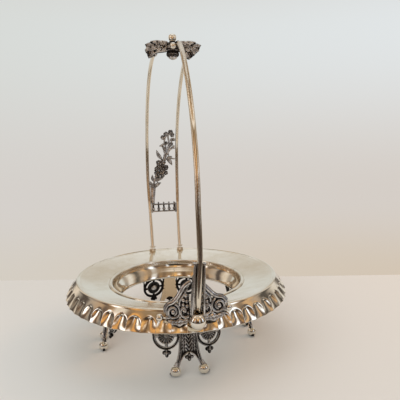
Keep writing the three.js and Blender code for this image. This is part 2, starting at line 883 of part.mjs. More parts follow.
// An urn-shaped baluster between the two rails, with or without a finial above the upper one.
function balusterOutline(x, hasFinial) {
  const rail = galleryRail / 2;
  const waist = (galleryLow + galleryHigh) / 2;
  const half = [
    [0.7, galleryLow + rail],
    [0.7, galleryLow + galleryRail + 0.5],
    [1.9, waist - 1],
    [0.6, waist + 1],
    [0.8, galleryHigh - rail],
  ];
  const finial = [
    [0.6, galleryHigh + 0.6],
    [1, galleryHigh + 1.2],
    [0, galleryHigh + 2.2],
    [-1, galleryHigh + 1.2],
    [-0.6, galleryHigh + 0.6],
  ];
  const all = [...half, ...(hasFinial ? finial : []), ...mirrored(half)];
  return polygon(all.map(([dx, z]) => [x + dx, z]));
}

function galleryPiece() {
  const half = galleryHalf(galleryLow);
  const box = (x0, x1, z0, z1) => polygon([[x0, z0], [x1, z0], [x1, z1], [x0, z1]]);
  const outlines = [
    box(-half, half, galleryLow, galleryLow + galleryRail),
    box(-half, half, galleryHigh - galleryRail, galleryHigh),
    box(-half, galleryPost - half, galleryLow - 0.9, galleryHigh),
    box(half - galleryPost, half, galleryLow - 0.9, galleryHigh + 1),
  ];
  for (let k = 0; k < balusterCount; k += 1) {
    // The spray's holder stands where the first finial would be.
    outlines.push(balusterOutline((k - (balusterCount - 1) / 2) * galleryPitch, k > 0));
  }
  const parts = outlines.map((outline, k) => {
    const deep = (k < 4 ? galleryDepth : 0.8 * galleryDepth) / 2;
    return plate(outline, deep, -deep);
  });
  return bentToLegs(toGeometry(joined(parts)));
}

// A place in the spray: side is a share of the rods' spread, up a share of the spray's height.
function onSpray([side, up]) {
  return [side * rodSwellX, galleryHigh + seatGap + up * sprayHeight];
}

function leafPart(from, to) {
  const [x0, z0] = onSpray(from);
  const [x1, z1] = onSpray(to);
  const [dx, dz] = [x1 - x0, z1 - z0];
  const across = sprayLeaf / Math.hypot(dx, dz);
  const at = (along, side) => {
    return [x0 + dx * along - dz * side * across, z0 + dz * along + dx * side * across];
  };
  const half = [[0.35, -1], [0.7, -0.8]];
  const edge = [[0, -0.35], ...half, [1, 0], ...half.map(([t, side]) => [t, -side]).reverse(), [0, 0.35]];
  return plate(polygon(edge.map(([t, side]) => at(t, side))), sprayDepth / 2, -sprayDepth / 2);
}

function flowerPart(place, size) {
  const radius = size * bloomRadius;
  const depth = Math.max(size, 0.6) * bloomDepth;
  const dome = turned([[0, -0.5], [radius, -0.5], [0.86 * radius, 0.5 * depth], [0, depth]], 9);
  const [x, z] = onSpray(place);
  return dome.rotateX(Math.PI / 2).translate(x, 0, z);
}

function stemPart(places) {
  const curve = new THREE.CatmullRomCurve3(places.map(onSpray).map(([x, z]) => point(x, 0, z)));
  return bar(curve, sprayStem, 2 * (places.length - 1), 6);
}

// The cone-shaped holder on the rail that the spray grows out of.
function holderPart() {
  const [lowX, base] = onSpray(holderBase);
  const [highX] = onSpray(holderTip);
  const outline = polygon([
    [lowX - 1.9, base],
    [lowX + 1.9, base],
    [highX + 3.1, base + holderLength],
    [highX - 3.1, base + holderLength],
  ]);
  return plate(outline, 1.6, -1.6);
}

function sprayPiece() {
  const rodSide = 1 - (rodRadius + 2 * seatGap) / rodSwellX;
  const stems = [
    [[-0.64, 0.14], [-0.53, 0.29], [-0.17, 0.47], [0.24, 0.66], [0.51, 0.77], [0.6, 0.91]],
    [[0.18, 0.62], [0.29, 0.74], [0.18, 0.86], [0.37, 0.96]],
    [[0.15, 0.61], [0.53, 0.62], [rodSide, 0.615]],
  ];
  const leaves = [
    [[-0.58, 0.18], [-0.28, 0.26]],
    [[-0.55, 0.27], [-0.15, 0.33]],
    [[-0.61, 0.22], [-0.78, 0.3]],
    [[-0.02, 0.61], [-0.39, 0.75]],
    [[0.39, 0.62], [0.64, 0.53]],
    [[0.46, 0.73], [0.82, 0.79]],
    [[0.56, 0.84], [0.78, 0.88]],
    [[0.26, 0.8], [-0.15, 0.81]],
    [[0.2, 0.87], [0.07, 0.93]],
    [[0.3, 0.6], [0.72, 0.655]],
    [[0.5, 0.77], [0.84, 0.745]],
    [[0.12, 0.74], [0.21, 0.65]],
  ];
  const flowers = [
    [[-0.06, 0.465], 1.1],
    [[0.03, 0.585], 0.61],
    [[-0.26, 0.55], 0.46],
    [[0.27, 0.51], 0.42],
    [[-0.35, 0.37], 0.5],
    [[0.37, 0.97], 0.36],
    [[0.61, 0.955], 0.42],
    [[0.3, 0.82], 0.33],
    [[0.58, 0.74], 0.33],
  ];
  const parts = [
    holderPart(),
    ...stems.map(stemPart),
    ...flowers.map(([place, size]) => flowerPart(place, size)),
    ...leaves.map(([from, to]) => leafPart(from, to)),
  ];
  return bentToLegs(toGeometry(joined(parts)));
}

// The gallery and the spray that stands on its rail keep clear of the rods at their sides.
function addGallery() {
  const rods = Object.values(rearLegs).map((curve) => bar(curve, rodRadius + seatGap, 2 * legSteps));
  addPiece("gallery", toGeometry(cutAway(toSolid(galleryPiece()), rods)), darkCast);
  addPiece("flower_spray", toGeometry(cutAway(toSolid(sprayPiece()), rods)), darkCast);
}

// Crown

// An arm's outline, in shares of its reach and of the crown's height.
function armOutline(side) {
  const hanging = {
    left: [[0.6, -0.14], [0.77, -0.52], [0.89, -0.68], [0.96, -0.2]],
    right: [[0.42, -0.3], [0.48, -0.63], [0.57, -0.73], [0.72, -0.4], [0.86, -0.05]],
  };
  const reach = side > 0 ? crownArmRight : crownArmReach;
  const half = [
    [0.12, 0],
    [0.33, -0.05],
    ...(side > 0 ? hanging.right : hanging.left),
    [0.95, 0.34],
    [1, 0.64],
    [0.84, 0.93],
    [0.51, 1.1],
    [0.31, 1.05],
    [0.12, 0.93],
  ];
  const outline = half.map(([out, up]) => [out * reach, crownLow + up * crownHeight]);
  return polygon(side > 0 ? outline : mirrored(outline));
}

function crownParts() {
  const boss = turned(
    [
      [0, crownLow],
      [crownRadius - 0.4, crownLow],
      [crownRadius, crownLow + 3],
      [crownRadius - 0.6, crownHigh - 2.4],
      [3, crownHigh],
      [0, crownHigh],
    ],
    14,
  );
  const parts = [boss];
  for (const side of [-1, 1]) {
    parts.push(plate(armOutline(side), crownArmDepth / 2, -crownArmDepth / 2));
    for (const face of [-1, 1]) {
      const rosette = turned([[0, -0.5], [rosetteRadius, -0.5], [0.8 * rosetteRadius, 1.3], [0, 1.9]], 9);
      rosette.rotateX(face * -Math.PI / 2);
      rosette.translate(side * rosetteX, face * (crownArmDepth / 2), (crownLow + crownHigh) / 2);
      parts.push(rosette);
    }
  }
  return parts;
}

// The tube on the crown that a leg ends in, and the hole that it needs there.
function legSocket(curve, radius, stop) {
  const share = shareUntilY(curve, stop);
  const end = curve.getPointAt(share);
  const out = Math.sign(end.y);
  const inner = point(end.x, end.y - socketRoot * out, end.z);
  const outer = point(end.x, end.y + socketDepth * out, end.z);
  const tube = rod(inner, outer, radius + socketWall, 10);
  const bore = new Stretch(curve, 0.9, shareUntilY(curve, stop - seatGap));
  return { tube, hole: bar(bore, radius + seatGap, 6) };
}

function crownPiece() {
  const parts = crownParts().map((part) => part.translate(crownX, 0, 0));
  const sockets = [
    legSocket(stem, stemRadius, stemEndY),
    legSocket(rearLegs.left, rodRadius, rodEndY),
    legSocket(rearLegs.right, rodRadius, rodEndY),
  ];
  const low = point(crownX, 0, crownLow - 1);
  const high = point(crownX, 0, crownHigh + 1);
  const studHole = rod(low, high, crownStud + seatGap);
  const solid = joined([...parts, ...sockets.map(({ tube }) => tube)]);
  return toGeometry(cutAway(solid, [studHole, ...sockets.map(({ hole }) => hole)]));
}

function addCrown() {
  addPiece("crown", crownPiece(), castSilver);

  const studLow = crownLow - studReach;
  const studHigh = crownHigh + studReach;
  const stud = rod(point(crownX, 0, studLow), point(crownX, 0, studHigh), crownStud);
  addPiece("crown_stud", stud, brassScrew);

  const topFloor = crownHigh + seatGap;
  const topCentre = topFloor + topBallRadius - topBallFlat;
  const bore = crownStud + seatGap;
  const topBall = ball(topBallRadius, nutFacets, topBallFlat - topBallRadius).translate(crownX, 0, topCentre);
  const topBore = rod(point(crownX, 0, topFloor - 1), point(crownX, 0, studHigh + seatGap), bore);
  addPiece("top_ball", toGeometry(cutAway(toSolid(topBall), [topBore])), brightSilver);

  const seatY = Math.sqrt(crownRadius ** 2 - (frontBallX - crownX) ** 2) + seatGap;
  const knob = ball(frontBallRadius, ballFacets).translate(frontBallX, -frontBallY, frontBallZ);
  const pin = rod(
    point(frontBallX, -frontBallY, frontBallZ),
    point(frontBallX, -seatY, frontBallZ),
    frontNeck,
  );
  addPiece("front_ball", toGeometry(joined([knob, pin])), brightSilver);

  const dropHigh = crownLow - seatGap;
  const dropLow = dropHigh - dropLength;
  const drop = turned(
    [
      [0, dropLow],
      [0.4 * dropRadius, dropLow + 0.5],
      [0.7 * dropRadius, dropLow + 0.3 * dropLength],
      [0.75 * dropRadius, dropLow + 0.43 * dropLength],
      [dropRadius, dropLow + 0.68 * dropLength],
      [0.87 * dropRadius, dropLow + 0.8 * dropLength],
      [0.87 * dropRadius, dropHigh],
      [bore, dropHigh],
      [bore, studLow - seatGap],
      [0, studLow - seatGap],
    ],
    18,
  );
  addPiece("drop_finial", drop.translate(crownX, 0, 0), silver);
}

addRing();
addFeet();
addBracket();
addLegs();
addGallery();
addCrown();

export default basket;
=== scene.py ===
# %% [markdown]
# # A brides basket frame in silver plate
#
# The object is a Victorian table piece: a dished ring on four cast feet that once held a glass bowl,
# with a hooped handle of three rods. Its charm is contrast, because mirror-bright sheet and balls meet
# castings whose hollows are black with oxide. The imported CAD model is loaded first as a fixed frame.
# Main sizes are then read from the boxes of its nodes, so each surface lies where its solid does, and
# the ornament is drawn within them.

# %% The frame
import math

import bmesh
import bpy
import numpy as np
from mathutils import Euler, Matrix, Vector


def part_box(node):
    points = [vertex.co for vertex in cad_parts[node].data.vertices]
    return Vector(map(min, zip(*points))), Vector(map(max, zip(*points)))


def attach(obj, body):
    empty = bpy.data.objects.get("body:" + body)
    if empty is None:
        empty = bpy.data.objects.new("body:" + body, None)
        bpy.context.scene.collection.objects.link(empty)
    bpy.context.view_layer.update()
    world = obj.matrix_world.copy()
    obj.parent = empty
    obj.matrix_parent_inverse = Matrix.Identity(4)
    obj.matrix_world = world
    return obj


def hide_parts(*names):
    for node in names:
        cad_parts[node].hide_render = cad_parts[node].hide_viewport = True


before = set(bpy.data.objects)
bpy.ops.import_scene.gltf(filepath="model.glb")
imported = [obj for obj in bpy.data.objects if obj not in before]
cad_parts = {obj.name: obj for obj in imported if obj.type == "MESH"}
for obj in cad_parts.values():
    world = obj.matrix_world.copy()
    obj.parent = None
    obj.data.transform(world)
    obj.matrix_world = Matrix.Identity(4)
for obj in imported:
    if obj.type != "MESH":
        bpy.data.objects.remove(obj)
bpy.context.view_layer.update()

# %% [markdown]
# ## Camera
#
# A camera is fitted to a photograph by asking from where its ellipses, balls and rods line up. The lens
# follows from the field of view. The camera stands a little left of the stem, looks down on the ring and
# is turned by less than one degree about its own axis, as a hand-held one is.

# %% The camera
scene = bpy.context.scene
scene.view_settings.view_transform = "Standard"

CAMERA_PLACE = (-0.0550, -0.4322, 0.2050)
CAMERA_YAW = math.radians(-10.43)
CAMERA_PITCH = math.radians(-8.43)
CAMERA_ROLL = math.radians(-0.85)
CAMERA_LENS = 40.75

lens = bpy.data.cameras.new("camera")
lens.lens = CAMERA_LENS
lens.clip_start = 0.01
camera = bpy.data.objects.new("camera", lens)
aim = Euler((math.pi / 2 + CAMERA_PITCH, 0, CAMERA_YAW)).to_matrix().to_4x4()
camera.matrix_world = Matrix.Translation(CAMERA_PLACE) @ aim @ Matrix.Rotation(CAMERA_ROLL, 4, "Z")
scene.collection.objects.link(camera)
scene.camera = camera
print("camera at", CAMERA_PLACE, "with a lens of", CAMERA_LENS, "mm")

# %% [markdown]
# ## Surfaces from numbers
#
# Most of this object is made by lathe, die or mould, so its forms are formulas: a profile turned about
# an axis, an oval drawn along a line, or a sheet of points with a relief on it. Each is a grid of points
# whose rows are closed loops, and one function sews such a grid into a closed skin. Sizes are in
# millimetres, as a silversmith would give them, and become metres when the mesh is made. Each point
# also carries a value from 0 to 1 that the finishes read later: mostly how deep it lies in a hollow,
# where oxide stays, and on some pieces painted shade and painted reflection, such as the balls' dark
# undersides, the stem's bands and the flute walls.

# %% Skins
MM = 0.001


def skin(points, hollow_and_painted_shade, ring=False):
    """Quads between neighbouring rows of points, where each row is a closed loop. A ring joins its last
    row to its first. Otherwise both ends close on the middle of their loop."""
    points = np.asarray(points, float)
    hollow_and_painted_shade = np.broadcast_to(hollow_and_painted_shade, points.shape[:2])
    if not ring:
        ends = [np.broadcast_to(points[k].mean(0), points[k].shape) for k in (0, -1)]
        points = np.concatenate([ends[0][None], points, ends[1][None]])
        hollow_and_painted_shade = np.concatenate([hollow_and_painted_shade[:1], hollow_and_painted_shade, hollow_and_painted_shade[-1:]])
    rows, loop = points.shape[:2]
    row = np.arange(rows if ring else rows - 1)[:, None]
    here = np.arange(loop)[None]
    after = (here + 1) % loop
    up = (row + 1) % rows
    quads = np.stack([row * loop + here, row * loop + after, up * loop + after, up * loop + here], -1)
    return points.reshape(-1, 3), quads.reshape(-1, 4), hollow_and_painted_shade.reshape(-1)


def merged(parts):
    """Several skins as one: the points follow each other and the quads' numbers are shifted to match."""
    points, quads, hollow_and_painted_shade = zip(*parts)
    starts = np.cumsum([0] + [len(part) for part in points])
    quads = [part + start for part, start in zip(quads, starts)]
    return np.concatenate(points), np.concatenate(quads), np.concatenate(hollow_and_painted_shade)


def moved(points, matrix):
    """Each point times the turn of a 4 by 4 matrix, plus its shift."""
    return points @ matrix[:3, :3].T + matrix[:3, 3]


def placed(parts, matrix):
    """Every skin's points turned and shifted by a matrix."""
    return [(moved(points, matrix), quads, hollow_and_painted_shade) for points, quads, hollow_and_painted_shade in parts]


def shifted(parts, x, y=0.0, z=0.0):
    """Every skin's points plus one shift."""
    return [(points + (x, y, z), quads, hollow_and_painted_shade) for points, quads, hollow_and_painted_shade in parts]


def turned_about(axis, degrees, about=(0, 0, 0)):
    """A 4 by 4 matrix that turns by an angle about a line through a point."""
    matrix = np.array(Matrix.Rotation(math.radians(degrees), 4, axis))
    matrix[:3, 3] = np.array(about) - matrix[:3, :3] @ np.array(about)
    return matrix


def shift_by(x, y, z):
    """A 4 by 4 matrix that shifts and doesn't turn."""
    matrix = np.eye(4)
    matrix[:3, 3] = (x, y, z)
    return matrix


MIRROR_X = np.diag([-1.0, 1.0, 1.0, 1.0])


# %% Pieces
MATERIALS = {}
SAME_POINT = 1e-6
SLIVER = 1e-7


def add_piece(name, parts, slot, *nodes):
    """One object of several skins. Doubled points are merged, slivers dropped, and the faces turned
    outward, one closed skin at a time."""
    points, quads, hollow_and_painted_shade = merged(parts)
    mesh = bpy.data.meshes.new(name)
    mesh.vertices.add(len(points))
    mesh.vertices.foreach_set("co", (points * MM).ravel())
    mesh.loops.add(quads.size)
    mesh.loops.foreach_set("vertex_index", quads.ravel())
    mesh.polygons.add(len(quads))
    mesh.polygons.foreach_set("loop_start", np.arange(0, quads.size, 4))
    mesh.update(calc_edges=True)
    mesh.attributes.new("hollow_and_painted_shade", "FLOAT", "POINT").data.foreach_set("value", hollow_and_painted_shade.astype(np.float32))
    work = bmesh.new()
    work.from_mesh(mesh)
    bmesh.ops.remove_doubles(work, verts=work.verts, dist=SAME_POINT)
    bmesh.ops.dissolve_degenerate(work, edges=work.edges, dist=SLIVER)
    bmesh.ops.recalc_face_normals(work, faces=work.faces)
    for face in work.faces:
        face.smooth = True
    work.to_mesh(mesh)
    work.free()
    mesh.materials.append(MATERIALS[slot])
    piece = bpy.data.objects.new(name, mesh)
    scene.collection.objects.link(piece)
    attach(piece, "root")
    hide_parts(*nodes)
    print(name, len(mesh.polygons), "faces")
    return piece


def box_mm(node):
    """Lowest and highest corner of a CAD node, in millimetres."""
    low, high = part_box(node)
    return np.array(low) / MM, np.array(high) / MM


# %% [markdown]
# ## Three ways to make a form
#
# A lathe turns a profile, a draw plate pulls a bar along a line, and a mould gives a plate its relief.
# Functions named turned, drawn and moulded do the same with arrays, and short ones beside them give
# circles and lines. A bar's section needs a direction to stand on: the facing direction is taken, less
# what runs along the line, and the third axis is square to both.

# %% Turning
def full_turn(steps):
    """Angles once round. The last one is left out, since it is the first again."""
    return np.linspace(0, 2 * np.pi, steps, endpoint=False)


def about_z(radius, angle, height):
    """Points about Z: x is the radius times the cosine of the angle, y the radius times its sine."""
    return np.stack(np.broadcast_arrays(radius * np.cos(angle), radius * np.sin(angle), height), -1)


def on_circle(x, z, radius, angle):
    """Places [x, z] on a plate, by radius and angle from a middle."""
    return np.stack([x + radius * np.cos(angle), z + radius * np.sin(angle)], -1)


def arc(radius, begin=-np.pi / 2, end=np.pi / 2, count=41):
    """A ball's profile of radius and height: part of a circle, from one elevation to another."""
    return on_circle(0, 0, radius, np.linspace(begin, end, count))


def turned(profile, steps, hollow_and_painted_shade=0.0, ring=True):
    """A profile of radius and height turned about Z. It closes on itself, or ends on the axis if ring
    is off."""
    profile = np.asarray(profile, float)
    points = about_z(profile[:, :1], full_turn(steps), profile[:, 1:])
    return skin(points, np.reshape(hollow_and_painted_shade, (-1, 1)), ring)


# %% Drawing along a line
def unit(vectors):
    """Each vector divided by its own length."""
    return vectors / np.linalg.norm(vectors, axis=-1, keepdims=True)


def along(knots, count, closed=False):
    """A smooth line through knots: each stretch is the Catmull-Rom cubic of the four nearest knots,
    sampled evenly, so a few knots give a round line."""
    knots = np.asarray(knots, float)
    if closed:
        knots = np.concatenate([knots[-1:], knots, knots[:2]])
    else:
        knots = np.concatenate([2 * knots[:1] - knots[1:2], knots, 2 * knots[-1:] - knots[-2:-1]])
    at = np.linspace(0, len(knots) - 3, count, endpoint=not closed)
    k = np.minimum(at.astype(int), len(knots) - 4)
    t = (at - k)[:, None]
    a, b, c, d = knots[k], knots[k + 1], knots[k + 2], knots[k + 3]
    bend = (2 * a - 5 * b + 4 * c - d) * t**2 + (3 * b - a - 3 * c + d) * t**3
    return 0.5 * (2 * b + (c - a) * t + bend)


def flat(places, out=0.0):
    """Places [x, z], in a line or a grid, set at a distance out in front of the plane, toward -Y."""
    places = np.asarray(places, float)
    return np.stack([places[..., 0], -np.broadcast_to(out, places.shape[:-1]), places[..., 1]], -1)


def drawn(line, width, height=None, facing=(0, -1, 0), sides=12, underside_dark=1.0, film=0.0):
    """A bar along a line: an oval stands square to the line, half its width across and half its height
    toward facing. Its underside is stored as deep, so oxide and grime gather along its foot, over a film
    that lies all round it."""
    line = np.asarray(line, float)
    run = unit(np.gradient(line, axis=0))
    face = np.asarray(facing, float) * np.ones_like(line)
    face = unit(face - (face * run).sum(-1, keepdims=True) * run)
    across = np.cross(run, face)
    turn = full_turn(sides)
    wide = np.broadcast_to(width, len(line))[:, None]
    high = np.broadcast_to(width if height is None else height, len(line))[:, None]
    points = line[:, None] + across[:, None] * (wide * np.cos(turn))[..., None]
    points = points + face[:, None] * (high * np.sin(turn))[..., None]
    return skin(points, film + underside_dark * np.clip(0.55 - 0.75 * np.sin(turn), 0, 1)[None])


# %% Moulding, beads and bosses
def moulded(front, back, hollow_and_painted_shade, behind=0.5):
    """A plate with a relief: each row runs along the front from left to right and returns along the
    back, so both faces and the edges are one skin."""
    front, back = np.asarray(front, float), np.asarray(back, float)
    hollow_and_painted_shade = np.broadcast_to(hollow_and_painted_shade, front.shape[:2])
    loop = np.concatenate([front, back[:, ::-1]], 1)
    return skin(loop, np.concatenate([hollow_and_painted_shade, behind + 0 * hollow_and_painted_shade], 1))


def bead(x, y, z, radius, tall=1.0, steps=14, film=0.35):
    """A small ball, or a drop where tall isn't 1: half a circle turned about the upright axis. It is
    darker than its film toward the back, and lighter toward the front."""
    profile = arc(radius, count=steps // 2 + 1) * (1, tall)
    points, quads, _ = turned(profile, steps, ring=False)
    dark = np.clip(film + 0.8 * points[:, 1] / radius, 0, 1)
    return points + (x, y, z), quads, dark


def raised(profile, x, z, out, steps=64, rays=0, depth=0.0, face=1):
    """A round boss on a plate: a profile of radius and rise turned about the line of sight. Rays add a
    wave round it, deepest in the middle of its width. Low places between crests are stored as deep."""
    profile = np.asarray(profile, float)
    angle = full_turn(steps)
    radius, rise = profile[:, :1], profile[:, 1:]
    swell = np.sin(np.pi * np.linspace(0, 1, len(profile)))[:, None]
    wave = swell * np.cos(rays * angle)
    dark = np.clip(0.75 - 0.9 * rise / rise.max() - 0.45 * wave * (depth > 0), 0, 1)
    return skin(flat(on_circle(x, z, radius, angle), face * (out + rise + depth * wave)), dark)

# %% [markdown]
# ## Finishes
#
# Old silver plate is never one colour. Sheet keeps a champagne tone with warmer clouds of tarnish and a
# haze of polishing lines. Castings were dipped in oxide and then rubbed, so only what a cloth reaches is
# bright. Both effects serve several materials, so each is a node group with its own inputs: one turns the
# stored depth into a ragged dark edge, which is oxide in the hollows and painted shade on some pieces,
# one makes clouds, and one makes fine lines.

# %% Node helpers
def node(tree, kind, inputs=None, **settings):
    """Adds a node, sets its options and fills its inputs. An input given as a socket is linked."""
    new = tree.nodes.new(kind)
    for key, value in settings.items():
        setattr(new, key, value)
    for key, value in (inputs or {}).items():
        if isinstance(value, bpy.types.NodeSocket):
            tree.links.new(value, new.inputs[key])
        else:
            new.inputs[key].default_value = value
    return new


def new_group(name, inputs, output):
    """An empty shader group with number inputs and one number output."""
    group = bpy.data.node_groups.new(name, "ShaderNodeTree")
    for label, value in inputs.items():
        socket = group.interface.new_socket(label, in_out="INPUT", socket_type="NodeSocketFloat")
        socket.default_value = value
    group.interface.new_socket(output, in_out="OUTPUT", socket_type="NodeSocketFloat")
    return group, group.nodes.new("NodeGroupInput").outputs, group.nodes.new("NodeGroupOutput").inputs


def object_place(tree):
    """The point's own place in metres, since every piece sits at the origin."""
    return tree.nodes.new("ShaderNodeTexCoord").outputs["Object"]


def mixed(tree, share, *ends):
    """A colour between two, by a share. Each of them is a socket or three numbers."""
    first, second = (end if isinstance(end, bpy.types.NodeSocket) else (*end, 1) for end in ends)
    return node(tree, "ShaderNodeMix", {0: share, 6: first, 7: second}, data_type="RGBA").outputs[2]


# %% Oxide that stays in the hollows, and painted shade
OXIDE_EDGE = (0.75, 1.15)


def oxide_group():
    """Hollow depth, plus half of a fine noise and a reach, cut by a soft edge."""
    group, given, result = new_group("oxide", {"Hollow": 0.0, "Reach": 0.3, "Grain": 900.0}, "Mask")
    speckle = {"Vector": object_place(group), "Scale": given["Grain"], "Detail": 3.0}
    grain = node(group, "ShaderNodeTexNoise", speckle)
    ragged = {0: grain.outputs[0], 1: 0.5, 2: given["Hollow"]}
    wobble = node(group, "ShaderNodeMath", ragged, operation="MULTIPLY_ADD")
    reached = node(group, "ShaderNodeMath", {0: wobble.outputs[0], 1: given["Reach"]}, operation="ADD")
    edge = {"Value": reached.outputs[0], "From Min": OXIDE_EDGE[0], "From Max": OXIDE_EDGE[1]}
    mask = node(group, "ShaderNodeMapRange", edge, interpolation_type="SMOOTHSTEP")
    group.links.new(mask.outputs[0], result["Mask"])
    return group


# %% Clouds of tarnish
CLOUD_BELOW, CLOUD_ABOVE = 0.14, 0.2


def cloud_group():
    """Noise of several octaves, cut softly a little below and above a level."""
    group, given, result = new_group("clouds", {"Size": 45.0, "Level": 0.5}, "Mask")
    coarse = {"Vector": object_place(group), "Scale": given["Size"], "Detail": 5.0, "Roughness": 0.6}
    noise = node(group, "ShaderNodeTexNoise", coarse)
    low = node(group, "ShaderNodeMath", {0: given["Level"], 1: CLOUD_BELOW}, operation="SUBTRACT")
    high = node(group, "ShaderNodeMath", {0: given["Level"], 1: CLOUD_ABOVE}, operation="ADD")
    span = {"Value": noise.outputs[0], "From Min": low.outputs[0], "From Max": high.outputs[0]}
    mask = node(group, "ShaderNodeMapRange", span, interpolation_type="SMOOTHSTEP")
    group.links.new(mask.outputs[0], result["Mask"])
    return group


# %% Fine polishing lines
# Turn and stretch of each set of lines
STROKES = ((0.4, (900, 60, 300)), (-0.9, (80, 1100, 260)), (1.9, (500, 500, 40)))


def polish_group():
    """The highest of three noises, each stretched into lines along its own direction."""
    group, given, result = new_group("polish", {"Fine": 1.0}, "Height")
    ways = []
    for turn, stretch in STROKES:
        spun = {"Vector": object_place(group), "Rotation": (0.3 * turn, 0.2, turn), "Scale": stretch}
        mapping = node(group, "ShaderNodeMapping", spun)
        lines = {"Vector": mapping.outputs[0], "Scale": given["Fine"], "Detail": 2.0}
        ways.append(node(group, "ShaderNodeTexNoise", lines).outputs[0])
    first = node(group, "ShaderNodeMath", {0: ways[0], 1: ways[1]}, operation="MAXIMUM")
    both = node(group, "ShaderNodeMath", {0: first.outputs[0], 1: ways[2]}, operation="MAXIMUM")
    group.links.new(both.outputs[0], result["Height"])
    return group


OXIDE, CLOUDS, POLISH = oxide_group(), cloud_group(), polish_group()
print("node groups", [group.name for group in (OXIDE, CLOUDS, POLISH)])

# %% [markdown]
# ## One recipe for every metal
#
# All five finishes are metal, so they share one layout and differ in numbers: the bright colour, the
# tarnished colour, how far oxide climbs out of the hollows, and how rough each state is. A depth below
# zero stands for plain backs, which the cloth never reached: they take a bright gold that is partly
# toning and partly a painted reflection of the lit table. The shader itself stays in the material, and
# what is the same all over is set on its own socket.

# %% Metals
GRAIN_SIZE = 1400.0
RELIEF_STRENGTH = 0.35
RELIEF_METRES = 0.00002


def metal(name, bright, warm, dark, reach, rough, worn_rough, haze, pits, cloud_size=45.0):
    """A finish from its numbers. The colour goes from bright to warm by the clouds, to gilt below zero
    depth, where a painted reflection of the lit table is part of the gold, and to dark by the oxide mask,
    which on some pieces carries painted shade. Roughness follows clouds and that mask. The bump's height
    is the polishing lines plus a fine noise times the pits."""
    material = bpy.data.materials.new(name)
    material.use_nodes = True
    tree = material.node_tree
    shader = tree.nodes["Principled BSDF"]
    shader.inputs["Metallic"].default_value = 1.0
    hollow_and_painted_shade = node(tree, "ShaderNodeAttribute", attribute_name="hollow_and_painted_shade").outputs["Fac"]
    oxide = node(tree, "ShaderNodeGroup", node_tree=OXIDE)
    tree.links.new(hollow_and_painted_shade, oxide.inputs["Hollow"])
    oxide.inputs["Reach"].default_value = reach
    clouds = node(tree, "ShaderNodeGroup", node_tree=CLOUDS)
    clouds.inputs["Size"].default_value = cloud_size
    lines = node(tree, "ShaderNodeGroup", node_tree=POLISH)
    clouded = mixed(tree, clouds.outputs[0], bright, warm)
    # Below zero depth: a bright gold, partly toning and partly a painted reflection of the lit table.
    gilt_and_reflection_share = node(tree, "ShaderNodeMapRange", {"Value": hollow_and_painted_shade, "From Min": 0.0, "From Max": -1.0})
    toned = mixed(tree, gilt_and_reflection_share.outputs[0], clouded, GILT_AND_PAINTED_REFLECTION)
    tree.links.new(mixed(tree, oxide.outputs[0], toned, dark), shader.inputs["Base Color"])
    dull = {"Value": clouds.outputs[0], "To Min": rough, "To Max": rough + haze}
    polish = node(tree, "ShaderNodeMapRange", dull)
    state = node(tree, "ShaderNodeMix", {0: oxide.outputs[0], 2: polish.outputs[0], 3: worn_rough})
    tree.links.new(state.outputs[0], shader.inputs["Roughness"])
    fine = {"Vector": object_place(tree), "Scale": GRAIN_SIZE, "Detail": 2.0}
    grain = node(tree, "ShaderNodeTexNoise", fine)
    pitted = {0: grain.outputs[0], 1: pits, 2: lines.outputs[0]}
    height = node(tree, "ShaderNodeMath", pitted, operation="MULTIPLY_ADD")
    relief = {"Height": height.outputs[0], "Strength": RELIEF_STRENGTH, "Distance": RELIEF_METRES}
    bump = node(tree, "ShaderNodeBump", relief)
    tree.links.new(bump.outputs[0], shader.inputs["Normal"])
    MATERIALS[name] = material


# AMBER and UMBER, the dark ends of the sheet and the balls, also show painted shade and painted reflection.
CHAMPAGNE, TOAST, AMBER = (0.85, 0.795, 0.69), (0.77, 0.69, 0.56), (0.36, 0.25, 0.14)
CREAM, UMBER = (0.85, 0.81, 0.73), (0.10, 0.08, 0.06)
RUBBED, SMOKE, OXIDE_BLACK = (0.74, 0.72, 0.70), (0.27, 0.255, 0.25), (0.024, 0.021, 0.020)
PEWTER, SLATE = (0.64, 0.63, 0.63), (0.19, 0.185, 0.185)
BRASS, BRONZE = (0.66, 0.52, 0.28), (0.45, 0.33, 0.16)
GILT_AND_PAINTED_REFLECTION = (0.90, 0.68, 0.45)
metal("silver_plate", CHAMPAGNE, TOAST, AMBER,
      reach=0.0, rough=0.08, worn_rough=0.22, haze=0.07, pits=0.15)
metal("bright_ball", CREAM, CHAMPAGNE, UMBER,
      reach=0.1, rough=0.06, worn_rough=0.3, haze=0.05, pits=0.1)
metal("cast_silver", RUBBED, SMOKE, OXIDE_BLACK,
      reach=0.34, rough=0.13, worn_rough=0.5, haze=0.16, pits=1.6, cloud_size=140.0)
metal("dark_casting", PEWTER, SLATE, OXIDE_BLACK,
      reach=0.33, rough=0.18, worn_rough=0.55, haze=0.14, pits=2.0, cloud_size=180.0)
metal("brass_screw", BRASS, BRONZE, OXIDE_BLACK,
      reach=0.2, rough=0.28, worn_rough=0.5, haze=0.1, pits=1.0)
print(len(MATERIALS), "finishes")

# %% [markdown]
# ## The ring
#
# The dished plate, its rounded shoulder and the fluted skirt are one sheet of metal, spun on a lathe and
# then pressed into a fluted die. So the surface is a turned profile whose radius dips 54 times on the
# skirt. Each flute is a trough with an arched top: its depth is a cosine across it, and it opens with a
# quarter of a sine wave below the arch. The sheet's inside follows its outside.

# %% Sizes read from the frame
ring_low, ring_high = box_mm("rim_plate")
collar_low, collar_high = box_mm("bowl_collar")

